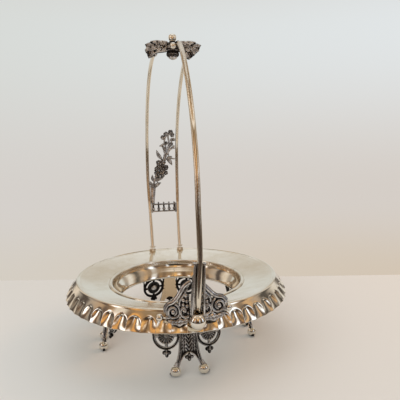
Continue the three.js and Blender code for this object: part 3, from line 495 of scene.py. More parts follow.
SHEET = 1.2
FLUTES = 54
FLUTE_DEPTH = 1.8
FLUTE_START = 0.25
FLUTE_ARCH = 0.2
FLUTE_RAMP = 0.24
FLUTE_FADE = 0.55
FADE_START = 0.6
RIDGE_PULL = 0.12
POINTS_PER_FLUTE = 16
SHOULDER_ROUND = 2.1
SHOULDER_HEIGHT = ring_high[2]
SKIRT_RADIUS = ring_high[0]
SKIRT_FOOT = ring_low[2]
SKIRT_SPREAD = 11.4
SHOULDER_RADIUS = SKIRT_RADIUS - SKIRT_SPREAD
BORE_GAP = 0.5
BORE_STEP = 0.7
BORE_RADIUS = collar_high[0] + BORE_GAP
BORE_HEIGHT = collar_high[2] - BORE_STEP
# Radius and height away from the shoulder's highest point: the plate's outer part, and the rounding
DISH_END = [(-6.5, -2.1), (-3.6, -1.35)]
ROUNDING = [(-3.6, -1.35), (-2.4, -1.25), (-1.5, -0.9), (-0.8, -0.2), (0, 0), (0.8, -0.15), (1.45, -0.6)]
print("ring radius", SKIRT_RADIUS.round(1), "mm, bore radius", BORE_RADIUS.round(1), "mm")


# %% The fluted sheet
def skirt_line(share):
    """The skirt's slope: a straight cone from under the shoulder to its lower edge, with a slight belly."""
    top = (SHOULDER_RADIUS + 0.9 * SHOULDER_ROUND, SHOULDER_HEIGHT - 0.65 * SHOULDER_ROUND)
    low = (SKIRT_RADIUS, SKIRT_FOOT)
    belly = 0.5 * np.sin(np.pi * share)
    return top[0] + (low[0] - top[0]) * share + belly, top[1] + (low[1] - top[1]) * share + 0.6 * belly


def flute_depth(side, share):
    """How deep a flute is: side runs from -1 to 1 across it, share from 0 to 1 down the skirt. Across it
    the trough is a cosine, and toward the lower edge it grows shallow."""
    begin = FLUTE_START + FLUTE_ARCH * side**2
    down = np.clip((share - begin) / FLUTE_RAMP, 0, 1)
    low = np.clip((share - FADE_START) / (1 - FADE_START), 0, 1)
    fade = 1 - FLUTE_FADE * low**2 * (3 - 2 * low)
    return FLUTE_DEPTH * fade * np.cos(side * np.pi / 2) * np.sin(down * np.pi / 2)


def ring_parts():
    """The sheet, turned. Points stand closer together near the ridges between flutes, so these stay crisp:
    the way across a flute is bent by a sine."""
    flute, way = np.divmod(np.arange(FLUTES * POINTS_PER_FLUTE) / POINTS_PER_FLUTE, 1)
    way = way - RIDGE_PULL * np.sin(2 * np.pi * way)
    angle = (flute + way) * 2 * np.pi / FLUTES
    side = 2 * way - 1
    shoulder = np.array([SHOULDER_RADIUS, SHOULDER_HEIGHT])
    floor = [(BORE_RADIUS, BORE_HEIGHT), (72, BORE_HEIGHT + 1.0), (80, BORE_HEIGHT + 2.6)]
    dish = along([*floor, *(shoulder + DISH_END)], 12)
    crest = along([*(shoulder + ROUNDING), skirt_line(0.0)], 19)[1:]
    share = np.concatenate([[0.04, 0.1, 0.15], np.linspace(FLUTE_START, 0.97, 19), [1.0]])
    skirt = np.stack(skirt_line(share), -1)
    profile = np.concatenate([dish, crest, skirt])
    depth = np.zeros((len(profile), len(angle)))
    depth[-len(share):] = flute_depth(side[None], share[:, None])
    run = unit(np.gradient(profile, axis=0))
    inner = profile - SHEET * np.stack([-run[:, 1], run[:, 0]], -1)
    both = np.concatenate([profile, inner[::-1]])
    radius = both[:, :1] - np.concatenate([depth, depth[::-1]])
    # Flute walls darken toward amber: partly tarnish, partly a painted warm reflection on their shaded
    # sides.
    wall = np.abs(np.sin(side * np.pi / 2)) * depth**0.5 + 1.4 * np.abs(np.gradient(depth, axis=0))
    tarnish_and_painted_reflection = np.clip(0.2 * depth / FLUTE_DEPTH + 0.6 * wall / wall.max(), 0, 1)
    hollow_and_painted_shade = np.concatenate([tarnish_and_painted_reflection, 0.5 + 0 * tarnish_and_painted_reflection])
    return [skin(about_z(radius, angle, both[:, 1:]), hollow_and_painted_shade, ring=True)]


add_piece("rim_plate_sheet", ring_parts(), "silver_plate", "rim_plate")

# %% [markdown]
# ## The collar
#
# The bowl stands on a turned collar in the bore. Below its rolled top it draws in, slowly at first and
# then like a funnel, down to a rounded lip. Under the top runs a fine die-rolled border of slanting leaves,
# which is a wave of the angle and the height together.

# %% Collar and its border
# Radius and height away from the collar's edge, at its top or at its foot: down the inside, and back up
COLLAR_INSIDE = [
    (0, -1.9), (0.1, -0.7), (-0.6, -0.05), (-1.6, 0), (-2.3, -0.5), (-2.6, -2.0), (-3.0, -4.6),
    (-3.6, -7.0), (-5.2, -10.0), (-6.8, -12.8), (-8.1, -15.4), (-8.6, -16.6), (-8.9, -17.7),
    (-8.6, -18.8), (-7.6, -19.2),
]
COLLAR_FOOT = [(-6.4, 0), (-5.6, 0), (-4.9, 0.7), (-4.8, 2.4)]
COLLAR_OUTSIDE = [(-4.4, -11.4), (-3.6, -9.4), (-2.9, -7.4), (-2.1, -3.4), (-0.9, -2.5)]
BAND_LEAVES = 144
BAND_TALL = 3.4
BAND_RELIEF = 0.22


def collar_part():
    """A closed line of radius and height, down the inside and back up outside, turned."""
    top, foot = np.array([(collar_high[0], collar_high[2]), (collar_high[0], collar_low[2])])
    knots = np.concatenate([top + COLLAR_INSIDE, foot + COLLAR_FOOT, top + COLLAR_OUTSIDE])
    return turned(along(knots, 120, closed=True), 192, 0.12)


def rolled_band():
    """The die-rolled border under the collar's top: a shallow ring whose face carries slanting leaves,
    which are a wave of the angle plus the height. Its valleys are darkened, partly as oxide and partly as
    a painted dark reflection in the collar's cove."""
    angle = full_turn(5 * BAND_LEAVES)
    rows = np.linspace(0, 1, 11)[:, None]
    drop = collar_high[2] - 0.9 - BAND_TALL * rows
    wall = collar_high[0] - 2.4 - 0.55 * rows
    wave = np.cos(BAND_LEAVES * angle + 2.2 * np.pi * rows) * np.sin(np.pi * rows)
    face = wall - 0.1 - BAND_RELIEF * (0.5 + 0.5 * wave)
    radius = np.concatenate([face, 0 * face[:2] + wall[[-1, 0]] + 0.6])
    # Darker valleys: oxide, and a painted dark reflection.
    dark = np.concatenate([0.6 - 0.5 * wave, 0 * wave[:2] + 0.5])
    return skin(about_z(radius, angle, np.concatenate([drop, drop[[-1, 0]]])), dark, ring=True)


add_piece("bowl_collar_turned", [collar_part(), rolled_band()], "silver_plate", "bowl_collar")

# %% [markdown]
# ## The feet
#
# Four equal castings carry the ring. Each is a flat pattern leaned inward: a pilaster that forks over an
# arch into two legs, and a pierced disc on either side in a square-headed frame. A caster would carve it
# in wax with added beads and mouldings, and so does this code: a moulded plate first, then raised bars
# along its edges, then beads. It is drawn once, upright, and then leaned and turned four times.

# %% The pilaster and its legs
ball_low, ball_high = box_mm("foot_ball_front_b")
BALL = (ball_high[0] - ball_low[0]) / 2
BALL_SIDE = (ball_high[0] + ball_low[0]) / 2
BALL_RING = -(ball_high[1] + ball_low[1]) / 2
BALL_HEIGHT = ball_high[2] - BALL
FOOT_LEAN = 13
FOOT_FRONT = BALL_RING + BALL_HEIGHT * math.tan(math.radians(FOOT_LEAN))
FOOT_TOP = box_mm("foot_front")[1][2] / math.cos(math.radians(FOOT_LEAN)) - 0.3
FACE = 1.4
CORDS = (2.9, 4.9)

OUTER_EDGE = [(BALL_SIDE + 1.7, 7.2), (11.4, 12), (9.6, 18), (8.6, 24), (7.9, 31), (7.0, 38), (5.6, 44),
              (4.9, FOOT_TOP)]
ARCH_EDGE = [(BALL_SIDE - 2.6, 6.4), (8.2, 10.2), (6.0, 14.2), (4.0, 16.8), (2.0, 18.4), (0, 19.0)]
ARCH_ROWS = 26
UPPER_ROWS = 60


def bump(value, centre, width):
    """A bell curve: e to the minus square of the distance from the centre, in widths."""
    return np.exp(-(((value - centre) / width) ** 2))


def slanting(waves):
    """Rounded stripes: the square of a wave between 0 and 1."""
    return (0.5 + 0.5 * np.cos(2 * np.pi * waves)) ** 2


def palmettes(x, z):
    """A column of leaves: in the middle a wave of the height less the distance from the middle, which
    stacks V shapes, and beside it two upright cords with slanting threads between them."""
    aside = np.abs(x)
    past = (aside - CORDS[0]) / 0.5
    leaves = slanting(z / 3.6 - aside / 2.4) * np.clip(-past, 0, 1)
    threads = slanting(z / 2.6 + aside / 2.4) * np.clip(past, 0, 1)
    cords = bump(aside, CORDS[0], 0.4) + bump(aside, CORDS[1], 0.4)
    return np.clip(0.9 * leaves + 0.6 * threads + 0.8 * cords, 0, 1)


def between(one, other, share):
    """A grid of places between two lines: one times what is left of the share, plus the other times it."""
    return one[:, None] * (1 - share[:, None]) + other[:, None] * share[:, None]


def half_pilaster():
    """One half of the front: across it from the arch or the middle line to the outer edge, and up it from
    the ball to the top. The inner line is the arch first and then the middle line."""
    outer = along(OUTER_EDGE, ARCH_ROWS + UPPER_ROWS)
    arch = along(ARCH_EDGE, ARCH_ROWS)
    rise = np.linspace(ARCH_EDGE[-1][1], FOOT_TOP, UPPER_ROWS + 1)[1:]
    inner = np.concatenate([arch, np.stack([0 * rise, rise], -1)])
    across = np.linspace(0, 1, 40)
    grid = between(inner, outer, across)
    x, z = grid[..., 0], grid[..., 1]
    panel = np.clip((0.78 - across) / 0.08, 0, 1) * np.clip((z - 19.5) / 2.5, 0.15, 1)
    carved = palmettes(x, z) * panel
    relief = 0.75 * carved - 0.35 * np.clip((across - 0.1) / 0.3, 0, 1)
    dark = np.clip(0.66 - 0.6 * carved, 0, 1)
    # The plain back is stored below zero depth: a gold that is partly toning, partly painted reflection.
    return moulded(flat(grid, FACE + relief), flat(grid, -FACE), dark, behind=-1), outer, arch


def pilaster_parts():
    """The carved plate, four mouldings along its lines and two beads, and all of it mirrored."""
    plate, outer, arch = half_pilaster()
    edge = flat(outer + (-0.45, 0), FACE - 0.1)
    second = flat(along(OUTER_EDGE, 70)[24:] + (-1.75, 0), FACE - 0.2)
    mould = flat(arch + (0.35, 0.55), FACE + 0.1)
    inner_leg = flat(along(OUTER_EDGE, 70)[:28] + (-2.1, -0.1), FACE - 0.2)
    half = [
        plate,
        drawn(edge, 0.55, 1.0, underside_dark=1.3),
        drawn(second, 0.35, 0.75, underside_dark=1.3),
        drawn(mould, 0.65, 1.0, underside_dark=0.6),
        drawn(inner_leg, 0.35, 0.7, underside_dark=1.3),
        bead(BALL_SIDE - 0.2, -0.2, 8.9, 2.1, 0.75),
        bead(BALL_SIDE - 0.9, -0.2, 10.9, 1.6, 0.8),
    ]
    return half + placed(half, MIRROR_X)


# %% [markdown]
# ## Discs, frames and pendants
#
# The disc shows a sunburst to the outside and plain rings with a button to the inside, which is how the
# photo shows it through the bore. Profiles of radius and rise make both, and a cosine of the angle makes
# the rays. Four slots are left between an inner and an outer ring by drawing only short bridges there.

# %% Disc
DISC_SIDE = 19.3
DISC = 12.1
FRAME_TOP = FOOT_TOP - 3.8
DISC_HEIGHT = FRAME_TOP - 12.3
SLOT = (7.4, 9.6)
SLOT_MIDDLE = 8.5
DISC_SWEEP = 16.5
SUNBURST = [(7.2, -0.9), (7.25, 0.5), (6.9, 0.95), (6.4, 0.75), (6.1, 0.3), (4.6, 0.55), (3.0, 0.6),
            (2.3, 0.35), (1.9, 0.9), (1.2, 1.35), (0.4, 1.5), (0, 1.5)]
BUTTON = [(7.2, -0.9), (7.25, 0.4), (6.7, 0.8), (6.1, 0.3), (5.4, 0.2), (4.8, 0.7), (4.1, 0.2), (3.5, 0.3),
          (2.9, 1.3), (1.8, 2.0), (0.7, 2.3), (0, 2.3)]
# Radius, width, rise and film of the rings round the slots
OUTER_RINGS = ((10.0, 0.4, 0.9, 0.2), (10.8, 0.6, 1.0, 0.6), (11.7, 0.45, 0.9, 0.15))


def disc_parts():
    """A boss on each face, circles of three radii round it, a bridge and a bead over each quarter of the
    slots, and three links to the pilaster."""
    x, z = DISC_SIDE, DISC_HEIGHT
    parts = [
        raised(SUNBURST, x, z, 0.3, rays=16, depth=0.42),
        raised(BUTTON, x, z, 0.3, face=-1),
    ]
    for radius, width, rise, film in OUTER_RINGS:
        circle = on_circle(x, z, radius, full_turn(72))
        circle = np.concatenate([circle, circle[:2]])
        parts.append(drawn(flat(circle, 0.25), width, rise + 0.3, sides=10, film=film))
        parts.append(drawn(flat(circle, -0.35), width, rise, sides=10, film=0.35))
    for way in full_turn(4):
        bridge = on_circle(x, z, np.linspace(SLOT[0] - 0.6, SLOT[1] + 0.4, 5), way)
        parts.append(drawn(flat(bridge, 0.1), 1.35, 1.0, sides=8, film=0.3))
        bead_x, bead_z = on_circle(x, z, SLOT_MIDDLE, way)
        parts.append(bead(bead_x, -1.0, bead_z, 0.75, steps=10))
    for height, half in ((0, 1.2), (4.6, 0.8), (-4.2, 0.8)):
        end = x - DISC + 1.4 + 0.06 * height**2
        link = flat([(4.6, z + height), (6.2, z + height), (end, z + height)], 0.1)
        parts.append(drawn(link, half, 1.0, sides=10))
        parts.append(bead(6.9, -0.9, z + height, 0.85, steps=10))
    return parts + frame_parts(x, z) + pendant_parts(x, z - DISC)


# %% Frame and pendants
def frame_parts(x, z):
    """The square head: two upright bars, a cornice of two bars, a leaf and a bead in each corner."""
    parts = []
    for side in (-1, 1):
        upright = [(x + side * 11.6, z - 1.0), (x + side * 11.6, FRAME_TOP)]
        parts.append(drawn(flat(along(upright, 8)), 0.6, 1.5, sides=8))
        corner = x + side * 10.6
        parts.append(leaf((x + side * 6.9, z + 9.0), (corner, FRAME_TOP - 1.4), 1.1, 0.5))
        parts.append(bead(corner, -1.2, FRAME_TOP - 0.6, 0.8, steps=10))
    for height, width, depth in ((FRAME_TOP - 0.55, 0.55, 1.5), (FRAME_TOP - 1.5, 0.3, 1.2)):
        cornice = [(x - 14.8, height), (x + 12.1, height)]
        parts.append(drawn(flat(along(cornice, 20)), width, depth, sides=8))
    return parts


def pendant_parts(x, top):
    """A trefoil: a collar, a short neck and three drops round a bud, each a bead stretched or squashed."""
    return [
        bead(x, 0, top + 0.1, 2.0, 0.6, film=1.15),
        bead(x, 0, top - 0.9, 1.5, 1.0, film=1.15),
        bead(x - 2.1, 0, top - 2.3, 1.85, 0.95, film=1.15),
        bead(x + 2.1, 0, top - 2.3, 1.85, 0.95, film=1.15),
        bead(x, -0.3, top - 2.6, 1.6, 1.1, film=1.0),
        bead(x, 0, top - 4.6, 1.55, 1.2, film=1.15),
    ]


# %% Leaves
def leaf(base, tip, half, out, bend=0.0, lobes=0, thick=0.9):
    """A leaf from base to tip: its half width is a sine of the way along, pulled toward the base, and
    notched by a wave where it has lobes. A vein runs down it and its edges curl back."""
    base, tip = np.asarray(base, float), np.asarray(tip, float)
    t = np.linspace(0, 1, 22 + 4 * lobes)
    s = np.linspace(-1, 1, 13)
    run = tip - base
    side = np.array([-run[1], run[0]]) / np.linalg.norm(run)
    spine = base + run * t[:, None] + side * (bend * np.sin(np.pi * t))[:, None]
    width = half * (0.16 + 0.84 * np.sin(np.pi * t**0.75)) * np.clip((1 - t) / 0.12, 0, 1) ** 0.6
    width = width * (1 + 0.22 * np.sin(2 * np.pi * lobes * t) * (lobes > 0))
    grid = spine[:, None] + side * (width[:, None] * s)[..., None]
    groove = bump(s, 0, 0.16)
    crown = thick * (1 - s**2) ** 0.5 - 0.35 * thick * groove * (t[:, None] < 0.9)
    veins = 0.12 * thick * np.cos(2 * np.pi * (7 * t[:, None] - 1.4 * np.abs(s)))
    rise = (crown + veins) * np.clip(width[:, None] / half * 2, 0.25, 1)
    dark = np.clip(0.75 - rise / thick + 0.35 * groove, 0, 1)
    return moulded(flat(grid, out + rise), flat(grid, out - 0.35), dark)


# %% Four feet
def foot_parts():
    """The casting upright: the pilaster, a disc swept back on either side, a bud under the arch and a
    small dark bead beside each ball."""
    wing = placed(disc_parts(), turned_about("Z", DISC_SWEEP, (4.4, 0, 0)))
    bud = [
        bead(0, -0.6, 17.2, 1.5, 1.1, film=1.1),
        bead(-2.1, -0.4, 15.6, 1.75, 0.9, film=1.1),
        bead(2.1, -0.4, 15.6, 1.75, 0.9, film=1.1),
        bead(0, -0.4, 13.9, 1.6, 1.15, film=1.1),
    ]
    # A small bead beside each ball, darker than the casting's film.
    dark_nub = [bead(BALL_SIDE + 3.6, 0.4, 2.6, 1.7, 1.0, film=0.8)]
    return pilaster_parts() + wing + placed(wing, MIRROR_X) + bud + dark_nub + placed(dark_nub, MIRROR_X)


def ball_parts(x):
    """A cast ball, slightly worn flat below. Its lower part is darker: painted shade for the ball's own
    shadow and the dark foot that it reflects.
    """
    angle = np.linspace(-np.pi / 2, np.pi / 2, 33)
    profile = np.stack([BALL * np.cos(angle), np.maximum(BALL * np.sin(angle), -BALL_HEIGHT)], -1)
    # Painted shade: darker toward the bottom, for the shadow and the foot that the ball reflects.
    underside_dark = np.clip(0.95 - 0.6 * (angle + 1.25), 0, 0.95)
    return shifted([turned(profile, 48, underside_dark, ring=False)], x, -BALL_RING, BALL_HEIGHT)


casting = placed(foot_parts(), shift_by(0, -FOOT_FRONT, 0) @ turned_about("X", -FOOT_LEAN))
for turn, place in enumerate(("front", "right", "back", "left")):
    quarter = turned_about("Z", 90 * turn)
    add_piece(f"foot_{place}_casting", placed(casting, quarter), "cast_silver", f"foot_{place}")
    for hand, side in (("a", -1), ("b", 1)):
        sphere = placed(ball_parts(side * BALL_SIDE), quarter)
        add_piece(f"foot_{place}_ball_{hand}", sphere, "bright_ball", f"foot_ball_{place}_{hand}")

# %% [markdown]
# ## The handle's three legs
#
# One stem rises in front and two rods behind, and from the side all three make a round hoop. The line of
# a leg is a straight foot, then a cubic that swings out to the hoop's widest point, then a cubic that
# stands in for a quarter of a circle. A cubic through four points is the sum of those points, each
# weighted by a Bernstein polynomial of the way along.

# %% Lines of the legs
HOOP_HEIGHT = 160.0
ROD_REACH = 116.95
STEM_REACH = 112.0
QUARTER_CIRCLE = 0.5523
STEM_RADIUS = 2.15
ROD_RADIUS = 1.9
STEM_OUT = 4.4
ROD_FOOT = (16.2, 93.0)
ROD_SLOPE = 0.36
ROD_BELOW = 7.6
ROD_SIDE = 17.8
ROD_TOP = (15.4, 279.3)
BRACKET = shift_by(1.2, -104.5, 58.0) @ turned_about("Y", 3)
# Dark bands on a leg: heights, and how dark it is there. On the stem they are painted reflection:
# dark where the dark room behind the camera shows in it, and clear from 184 to 202 mm, where glints show.
STEM_PAINTED_REFLECTION = ((70, 0.3), (100, 0.5), (125, 0.75), (172, 0.7), (184, 0), (202, 0), (215, 0.6), (240, 0.68))
ROD_DARK_BANDS = ((112, 0), (124, 0.75), (186, 0.75), (200, 0))


def cubic(a, b, c, d, t):
    """(1-t)^3 a + 3 (1-t)^2 t b + 3 (1-t) t^2 c + t^3 d, for every t of an array."""
    t = np.asarray(t, float)[:, None]
    return (1 - t) ** 3 * a + 3 * (1 - t) ** 2 * t * b + 3 * (1 - t) * t**2 * c + t**3 * d


def leg_line(start, foot, slope, swell, bend_x, top, stop):
    """Foot, swing and hoop as one line of points, cut off where it comes within stop of the middle."""
    start, foot, swell, top = (np.array(p, float) for p in (start, foot, swell, top))
    side = np.sign(swell[1])
    lift = 0.45 * (HOOP_HEIGHT - foot[2])
    out = foot + (0, side * slope * lift, lift)
    under = swell - (0, 0, 0.5 * (HOOP_HEIGHT - foot[2] - lift))
    climb = QUARTER_CIRCLE * (top[2] - HOOP_HEIGHT)
    leave = swell + ((bend_x - swell[0]) / 3, 0, climb)
    reach = np.array([bend_x, QUARTER_CIRCLE * swell[1], top[2]])
    trial = np.linspace(0, 1, 400)
    last = np.interp(stop, np.abs(cubic(swell, leave, reach, top, trial)[::-1, 1]), trial[::-1])
    t = np.linspace(0, 1, 49)
    straight = start + (foot - start) * np.linspace(0, 1, 4)[:3, None]
    rise = cubic(foot, out, under, swell, t)[:-1]
    return np.concatenate([straight, rise, cubic(swell, leave, reach, top, t * last)])


def rear_line(side):
    """A rear rod's line. Its foot stands on the ring's shoulder and leans back by the slope, and the
    side, -1 or 1, mirrors it."""
    foot = np.array([side * ROD_FOOT[0], ROD_FOOT[1], SHOULDER_HEIGHT])
    start = foot - (0, ROD_SLOPE * ROD_BELOW, ROD_BELOW)
    swell = (side * ROD_SIDE, ROD_REACH, HOOP_HEIGHT)
    top = (side * ROD_TOP[0], 0, ROD_TOP[1])
    return leg_line(start, foot, ROD_SLOPE, swell, bend_x=swell[0], top=top, stop=5.4)


def leg(line, radius, dark_bands):
    """A round rod, darker in bands that are read off between the listed heights. On the stem these bands
    are painted reflection.
    """
    # Painted reflection on the stem: its dark bands and the clear band where glints show.
    film = np.interp(line[:, 2:], *np.array(dark_bands).T)
    return [drawn(line, radius, facing=(1, 0, 0), sides=32, underside_dark=0, film=film)]


stem_start, stem_foot = moved(np.array([(0, -STEM_OUT, 10.3), (0, -STEM_OUT, 50.0)]), BRACKET)
stem_swell = (2.4, -STEM_REACH, HOOP_HEIGHT)
stem_line = leg_line(stem_start, stem_foot, 0.04, stem_swell, bend_x=-0.8, top=(6.0, 0, 285.5), stop=6.2)
rear_lines = {"left": rear_line(-1), "right": rear_line(1)}
add_piece("handle_stem_rod", leg(stem_line, STEM_RADIUS, STEM_PAINTED_REFLECTION), "silver_plate", "handle_stem")
for place, line in rear_lines.items():
    add_piece(f"rear_rod_{place}_bar", leg(line, ROD_RADIUS, ROD_DARK_BANDS), "silver_plate", f"rear_rod_{place}")

# %% [markdown]
# ## Leaf collars
#
# Each rear rod stands in a small collar of leaves. Its radius is a profile times a rounded wave that
# peaks seven times round, and that wave grows toward the tips, so the leaves part as they open.

# %% Collars of the rear rods
def petals(profile, count, depth, film, steps=96):
    """A turned profile whose radius waves with the angle; depth is one value per point of the profile.
    Grooves are darker than the film that lies over all of it, and crests are lighter."""
    profile, depth = np.asarray(profile, float), np.asarray(depth, float)
    angle = full_turn(steps)
    wave = 1 + depth[:, None] * (np.abs(np.cos(count * angle / 2)) ** 1.3 - 0.6)
    dark = np.clip(film - (wave - 1) * 2.0, 0, 1)
    return skin(about_z(profile[:, :1] * wave, angle, profile[:, 1:]), dark)


LEAF_CUP = [(2.1, -0.4), (3.1, -0.3), (3.6, 0.3), (2.7, 0.9), (2.4, 1.6), (2.7, 2.6), (3.4, 3.5),
            (2.8, 3.6), (2.1, 2.9)]
LEAF_WAVE = [0.0, 0.1, 0.3, 0.1, 0.05, 0.25, 0.55, 0.3, 0.0]
LEAF_COUNT = 7
for place, side in (("left", -1), ("right", 1)):
    low, high = box_mm(f"rear_collar_{place}")
    lean = turned_about("X", -math.degrees(math.atan(ROD_SLOPE)))
    seat = shift_by(side * ROD_FOOT[0], (low[1] + high[1]) / 2 - 0.6, SHOULDER_HEIGHT + 0.3) @ lean
    leaves = placed([petals(LEAF_CUP, LEAF_COUNT, LEAF_WAVE, film=0.0)], seat)
    add_piece(f"rear_collar_{place}_leaves", leaves, "bright_ball", f"rear_collar_{place}")

# %% [markdown]
# ## The bracket
#
# The stem stands in an open channel whose cheeks are rounded ridges. A broad strap falls from each side
# of it to the wing's tip. Below it lies a volute, which is a spiral bar: its radius shrinks evenly with
# the angle. Beads and short scrolls fill the space between, a lobed leaf closes each wing below, and a
# small ball ends it.

# %% Channel
CHANNEL_FOOT, CHANNEL_TOP = 9.5, 50.0
CHANNEL_RIM = np.array([(2.3, -4.6, -0.1), (3.4, -5.5, 0), (4.5, -4.4, 0), (4.5, -1.2, 0)])


def channel_parts():
    """A flat back between two cheeks. On each cheek runs a thin ridge, beside it a lower bar, and round
    its top a rim. All of it narrows upward."""
    share = np.linspace(0, 1, 40)
    up = CHANNEL_FOOT + (CHANNEL_TOP - CHANNEL_FOOT) * share
    middle = 4.55 - 1.1 * share
    mouth = 1 + 0.22 * bump(up, CHANNEL_TOP - 0.6, 0.9)
    across = np.linspace(-1, 1, 9) * (4.9 - share[:, None])
    grid = np.stack([across, up[:, None] + 0 * across], -1)
    parts = [moulded(flat(grid, 1.7), flat(grid), 0.15)]
    for side in (-1, 1):
        cheek, ridge, outer = (np.stack([side * (middle + offset), up], -1) for offset in (0, 0.45, 1.0))
        parts.append(drawn(flat(cheek, 3.5), 0.92 * mouth, 2.15, sides=16, underside_dark=0.35))
        parts.append(drawn(flat(ridge, 5.0), 0.3, 0.55, sides=8))
        parts.append(drawn(flat(outer[:31], 2.2), 0.45, 1.2, sides=8))
        rim = along(CHANNEL_RIM * (side, 1, 1) + (0, 0, CHANNEL_TOP), 18)
        parts.append(drawn(rim, 0.5, 0.5, facing=(0, 0, 1), sides=8))
    return parts


# %% Lines of the wings
VOLUTE = (18.8, 13.6)
VOLUTE_DISH = [(6.7, -1.2), (6.8, 0.8), (6.1, 1.1), (4.4, 0.2), (2.5, 0.3), (0, 0.8)]
STRAP = [(7.4, 32.6), (11.0, 28.0), (14.6, 23.6), (18.4, 20.6), (22.6, 19.2), (25.4, 15.8)]
INNER_STRAP = [(4.9, 30.6), (7.6, 27.0), (10.4, 23.8), (12.6, 20.8), (12.9, 17.4)]
CURL = [(5.4, 8.6), (8.6, 7.8), (11.6, 9.6), (12.4, 13.2), (10.2, 15.6), (7.8, 14.4), (8.6, 12.0)]
TIP_ARM = [(22.0, 8.6), (23.6, 9.0), (25.0, 9.5)]
WING_BEADS = ((6.6, 25.2, 1.6), (9.2, 21.8, 1.6), (6.2, 20.8, 1.5), (6.3, 16.9, 1.6), (9.6, 18.2, 1.4),
              (13.4, 8.6, 1.3), (9.6, 13.4, 1.3), (5.8, 11.4, 1.3))
STRAP_TOP = {1: (3.6, 39.0), -1: (1.4, 36.0)}
WING_WIDTH = {1: 1.0, -1: 0.88}
print(len(WING_BEADS), "beads on each wing; the left one is", WING_WIDTH[-1], "as wide as the right")


# %% One wing
def spiral(x, z, start, end, turns, begin, out):
    """A spiral on the plate: the radius falls evenly from start to end while the angle runs on."""
    share = np.linspace(0, 1, 90)
    angle = begin + 2 * np.pi * turns * share
    return flat(on_circle(x, z, start + (end - start) * share, angle), out + 1.1 * share)


def wing_ground():
    """The ground behind the beads: a plate from the channel out to the strap, with a chequered ripple."""
    up = np.linspace(5.6, 25.5, 30)
    reach = np.interp(up, [5.6, 12.0, 18.0, 21.0, 25.5], [14.0, 13.4, 13.4, 12.2, 8.6])
    across = 4.0 + (reach[:, None] - 4.0) * np.linspace(0, 1, 16)
    rise = up[:, None] + 0 * across
    ripple = np.sin(1.75 * across) * np.sin(1.6 * rise)
    grid = np.stack([across, rise], -1)
    return moulded(flat(grid, 1.2 + 0.5 * ripple), flat(grid, 0.2), 0.6 - 0.4 * ripple, behind=0.7)


def wing_parts(strap_top):
    """One wing, drawn to the right of the channel. Numbers are places on it: across, and up."""
    x, z = VOLUTE
    volute = spiral(x, z, start=6.1, end=2.2, turns=1.4, begin=1.9, out=1.9)
    strap = flat(along([strap_top, *STRAP], 50), 1.3)
    parts = [
        wing_ground(),
        raised(VOLUTE_DISH, x, z, 0.7),
        drawn(volute, 1.25, 1.6, underside_dark=1.2, film=0.26),
        bead(x, -3.6, z, 1.9),
        drawn(strap, 2.0, 1.9, sides=16, underside_dark=1.2, film=0.18),
        drawn(flat(along(INNER_STRAP, 36), 1.1), 1.2, 1.7, underside_dark=1.3, film=0.24),
        drawn(flat(along(CURL, 40), 1.3), 1.4, 1.8, underside_dark=1.3, film=0.24),
        leaf((5.6, 5.4), (26.0, 6.6), 3.5, 0.9, bend=-1.8, lobes=3, thick=2.1),
        leaf((21.0, 20.0), (27.0, 12.0), 2.1, 0.6, bend=1.0, thick=1.5),
        drawn(flat(TIP_ARM, 1.2), (1.4, 1.5, 1.7)),
    ]
    return parts + [bead(x, -1.6 - 0.4 * size, z, size, steps=12) for x, z, size in WING_BEADS]


# %% The whole bracket
def wing_place(side):
    """A wing is swept back, mirrored if it is the left one, and then both are tilted and shifted alike."""
    flip = np.diag([side * WING_WIDTH[side], 1.0, 1.0, 1.0])
    tilt = shift_by(-1.6, 0, 9.6) @ turned_about("Y", -7) @ shift_by(0, 0, -9.6)
    return tilt @ flip @ turned_about("Z", 7)


def lug_part():
    """The block behind the channel that is soldered to the skirt. It reaches back as the skirt does."""
    grid = np.stack(np.meshgrid(np.linspace(-3.6, 3.6, 7), np.linspace(2.5, 14, 9)), -1)
    reach = np.minimum(2.0 + 0.66 * (grid[..., 1] - 2.5), 6.8)
    return moulded(flat(grid, 1.5), flat(grid, -reach), 0.9)


bracket = channel_parts() + [lug_part()]
for side, strap_top in STRAP_TOP.items():
    bracket += placed(wing_parts(strap_top), wing_place(side))
add_piece("handle_bracket_casting", placed(bracket, BRACKET), "cast_silver", "handle_bracket")

# %% Balls of the bracket
NUT_RADIUS = 6.57
nut_centre = moved(np.array([0, -STEM_OUT, 5.1]), BRACKET)
nut_profile = np.concatenate([arc(NUT_RADIUS, end=1.2), [(2.5, 6.0), (2.4, 5.6)]])
nut = shifted([turned(nut_profile, 64, ring=False)], *nut_centre)
add_piece("stem_ball", nut, "bright_ball", "stem_ball_nut")
for place in ("left", "right"):
    low, high = box_mm(f"bracket_ball_{place}")
    tip = shifted([turned(arc((high[0] - low[0]) / 2), 64, ring=False)], *(low + high) / 2)
    add_piece(f"bracket_tip_{place}", tip, "bright_ball", f"bracket_ball_{place}")

# %% [markdown]
# ## Gallery and spray
#
# Between the rear rods stands a small balustrade, and a branch with blossoms climbs from a ribbed cone on
# its rail. Both castings are drawn flat and then laid back onto the rods, because the rods lean away
# and swing: the distance of a rod at each height is looked up and added to every point at once.

# %% Gallery
GALLERY_LOW = box_mm("gallery")[0][2] + 0.9
GALLERY_HIGH = GALLERY_LOW + 9.5
RAIL = 1.5
BALUSTERS = 5
BALUSTER_PITCH = 6.3
GALLERY_HALF = box_mm("gallery")[1][0]
POST_INSET = 0.75
URN = np.array([(1.3, 0), (1.2, 0.5), (0.8, 0.8), (1.7, 1.4), (2.2, 2.2), (1.6, 3.2), (0.75, 4.0),
                (1.2, 4.7), (0.8, 5.2)])
FINIAL = np.array([(0.8, 0), (0.5, 0.4), (1.1, 1.1), (0.85, 1.8), (0, 2.2)])
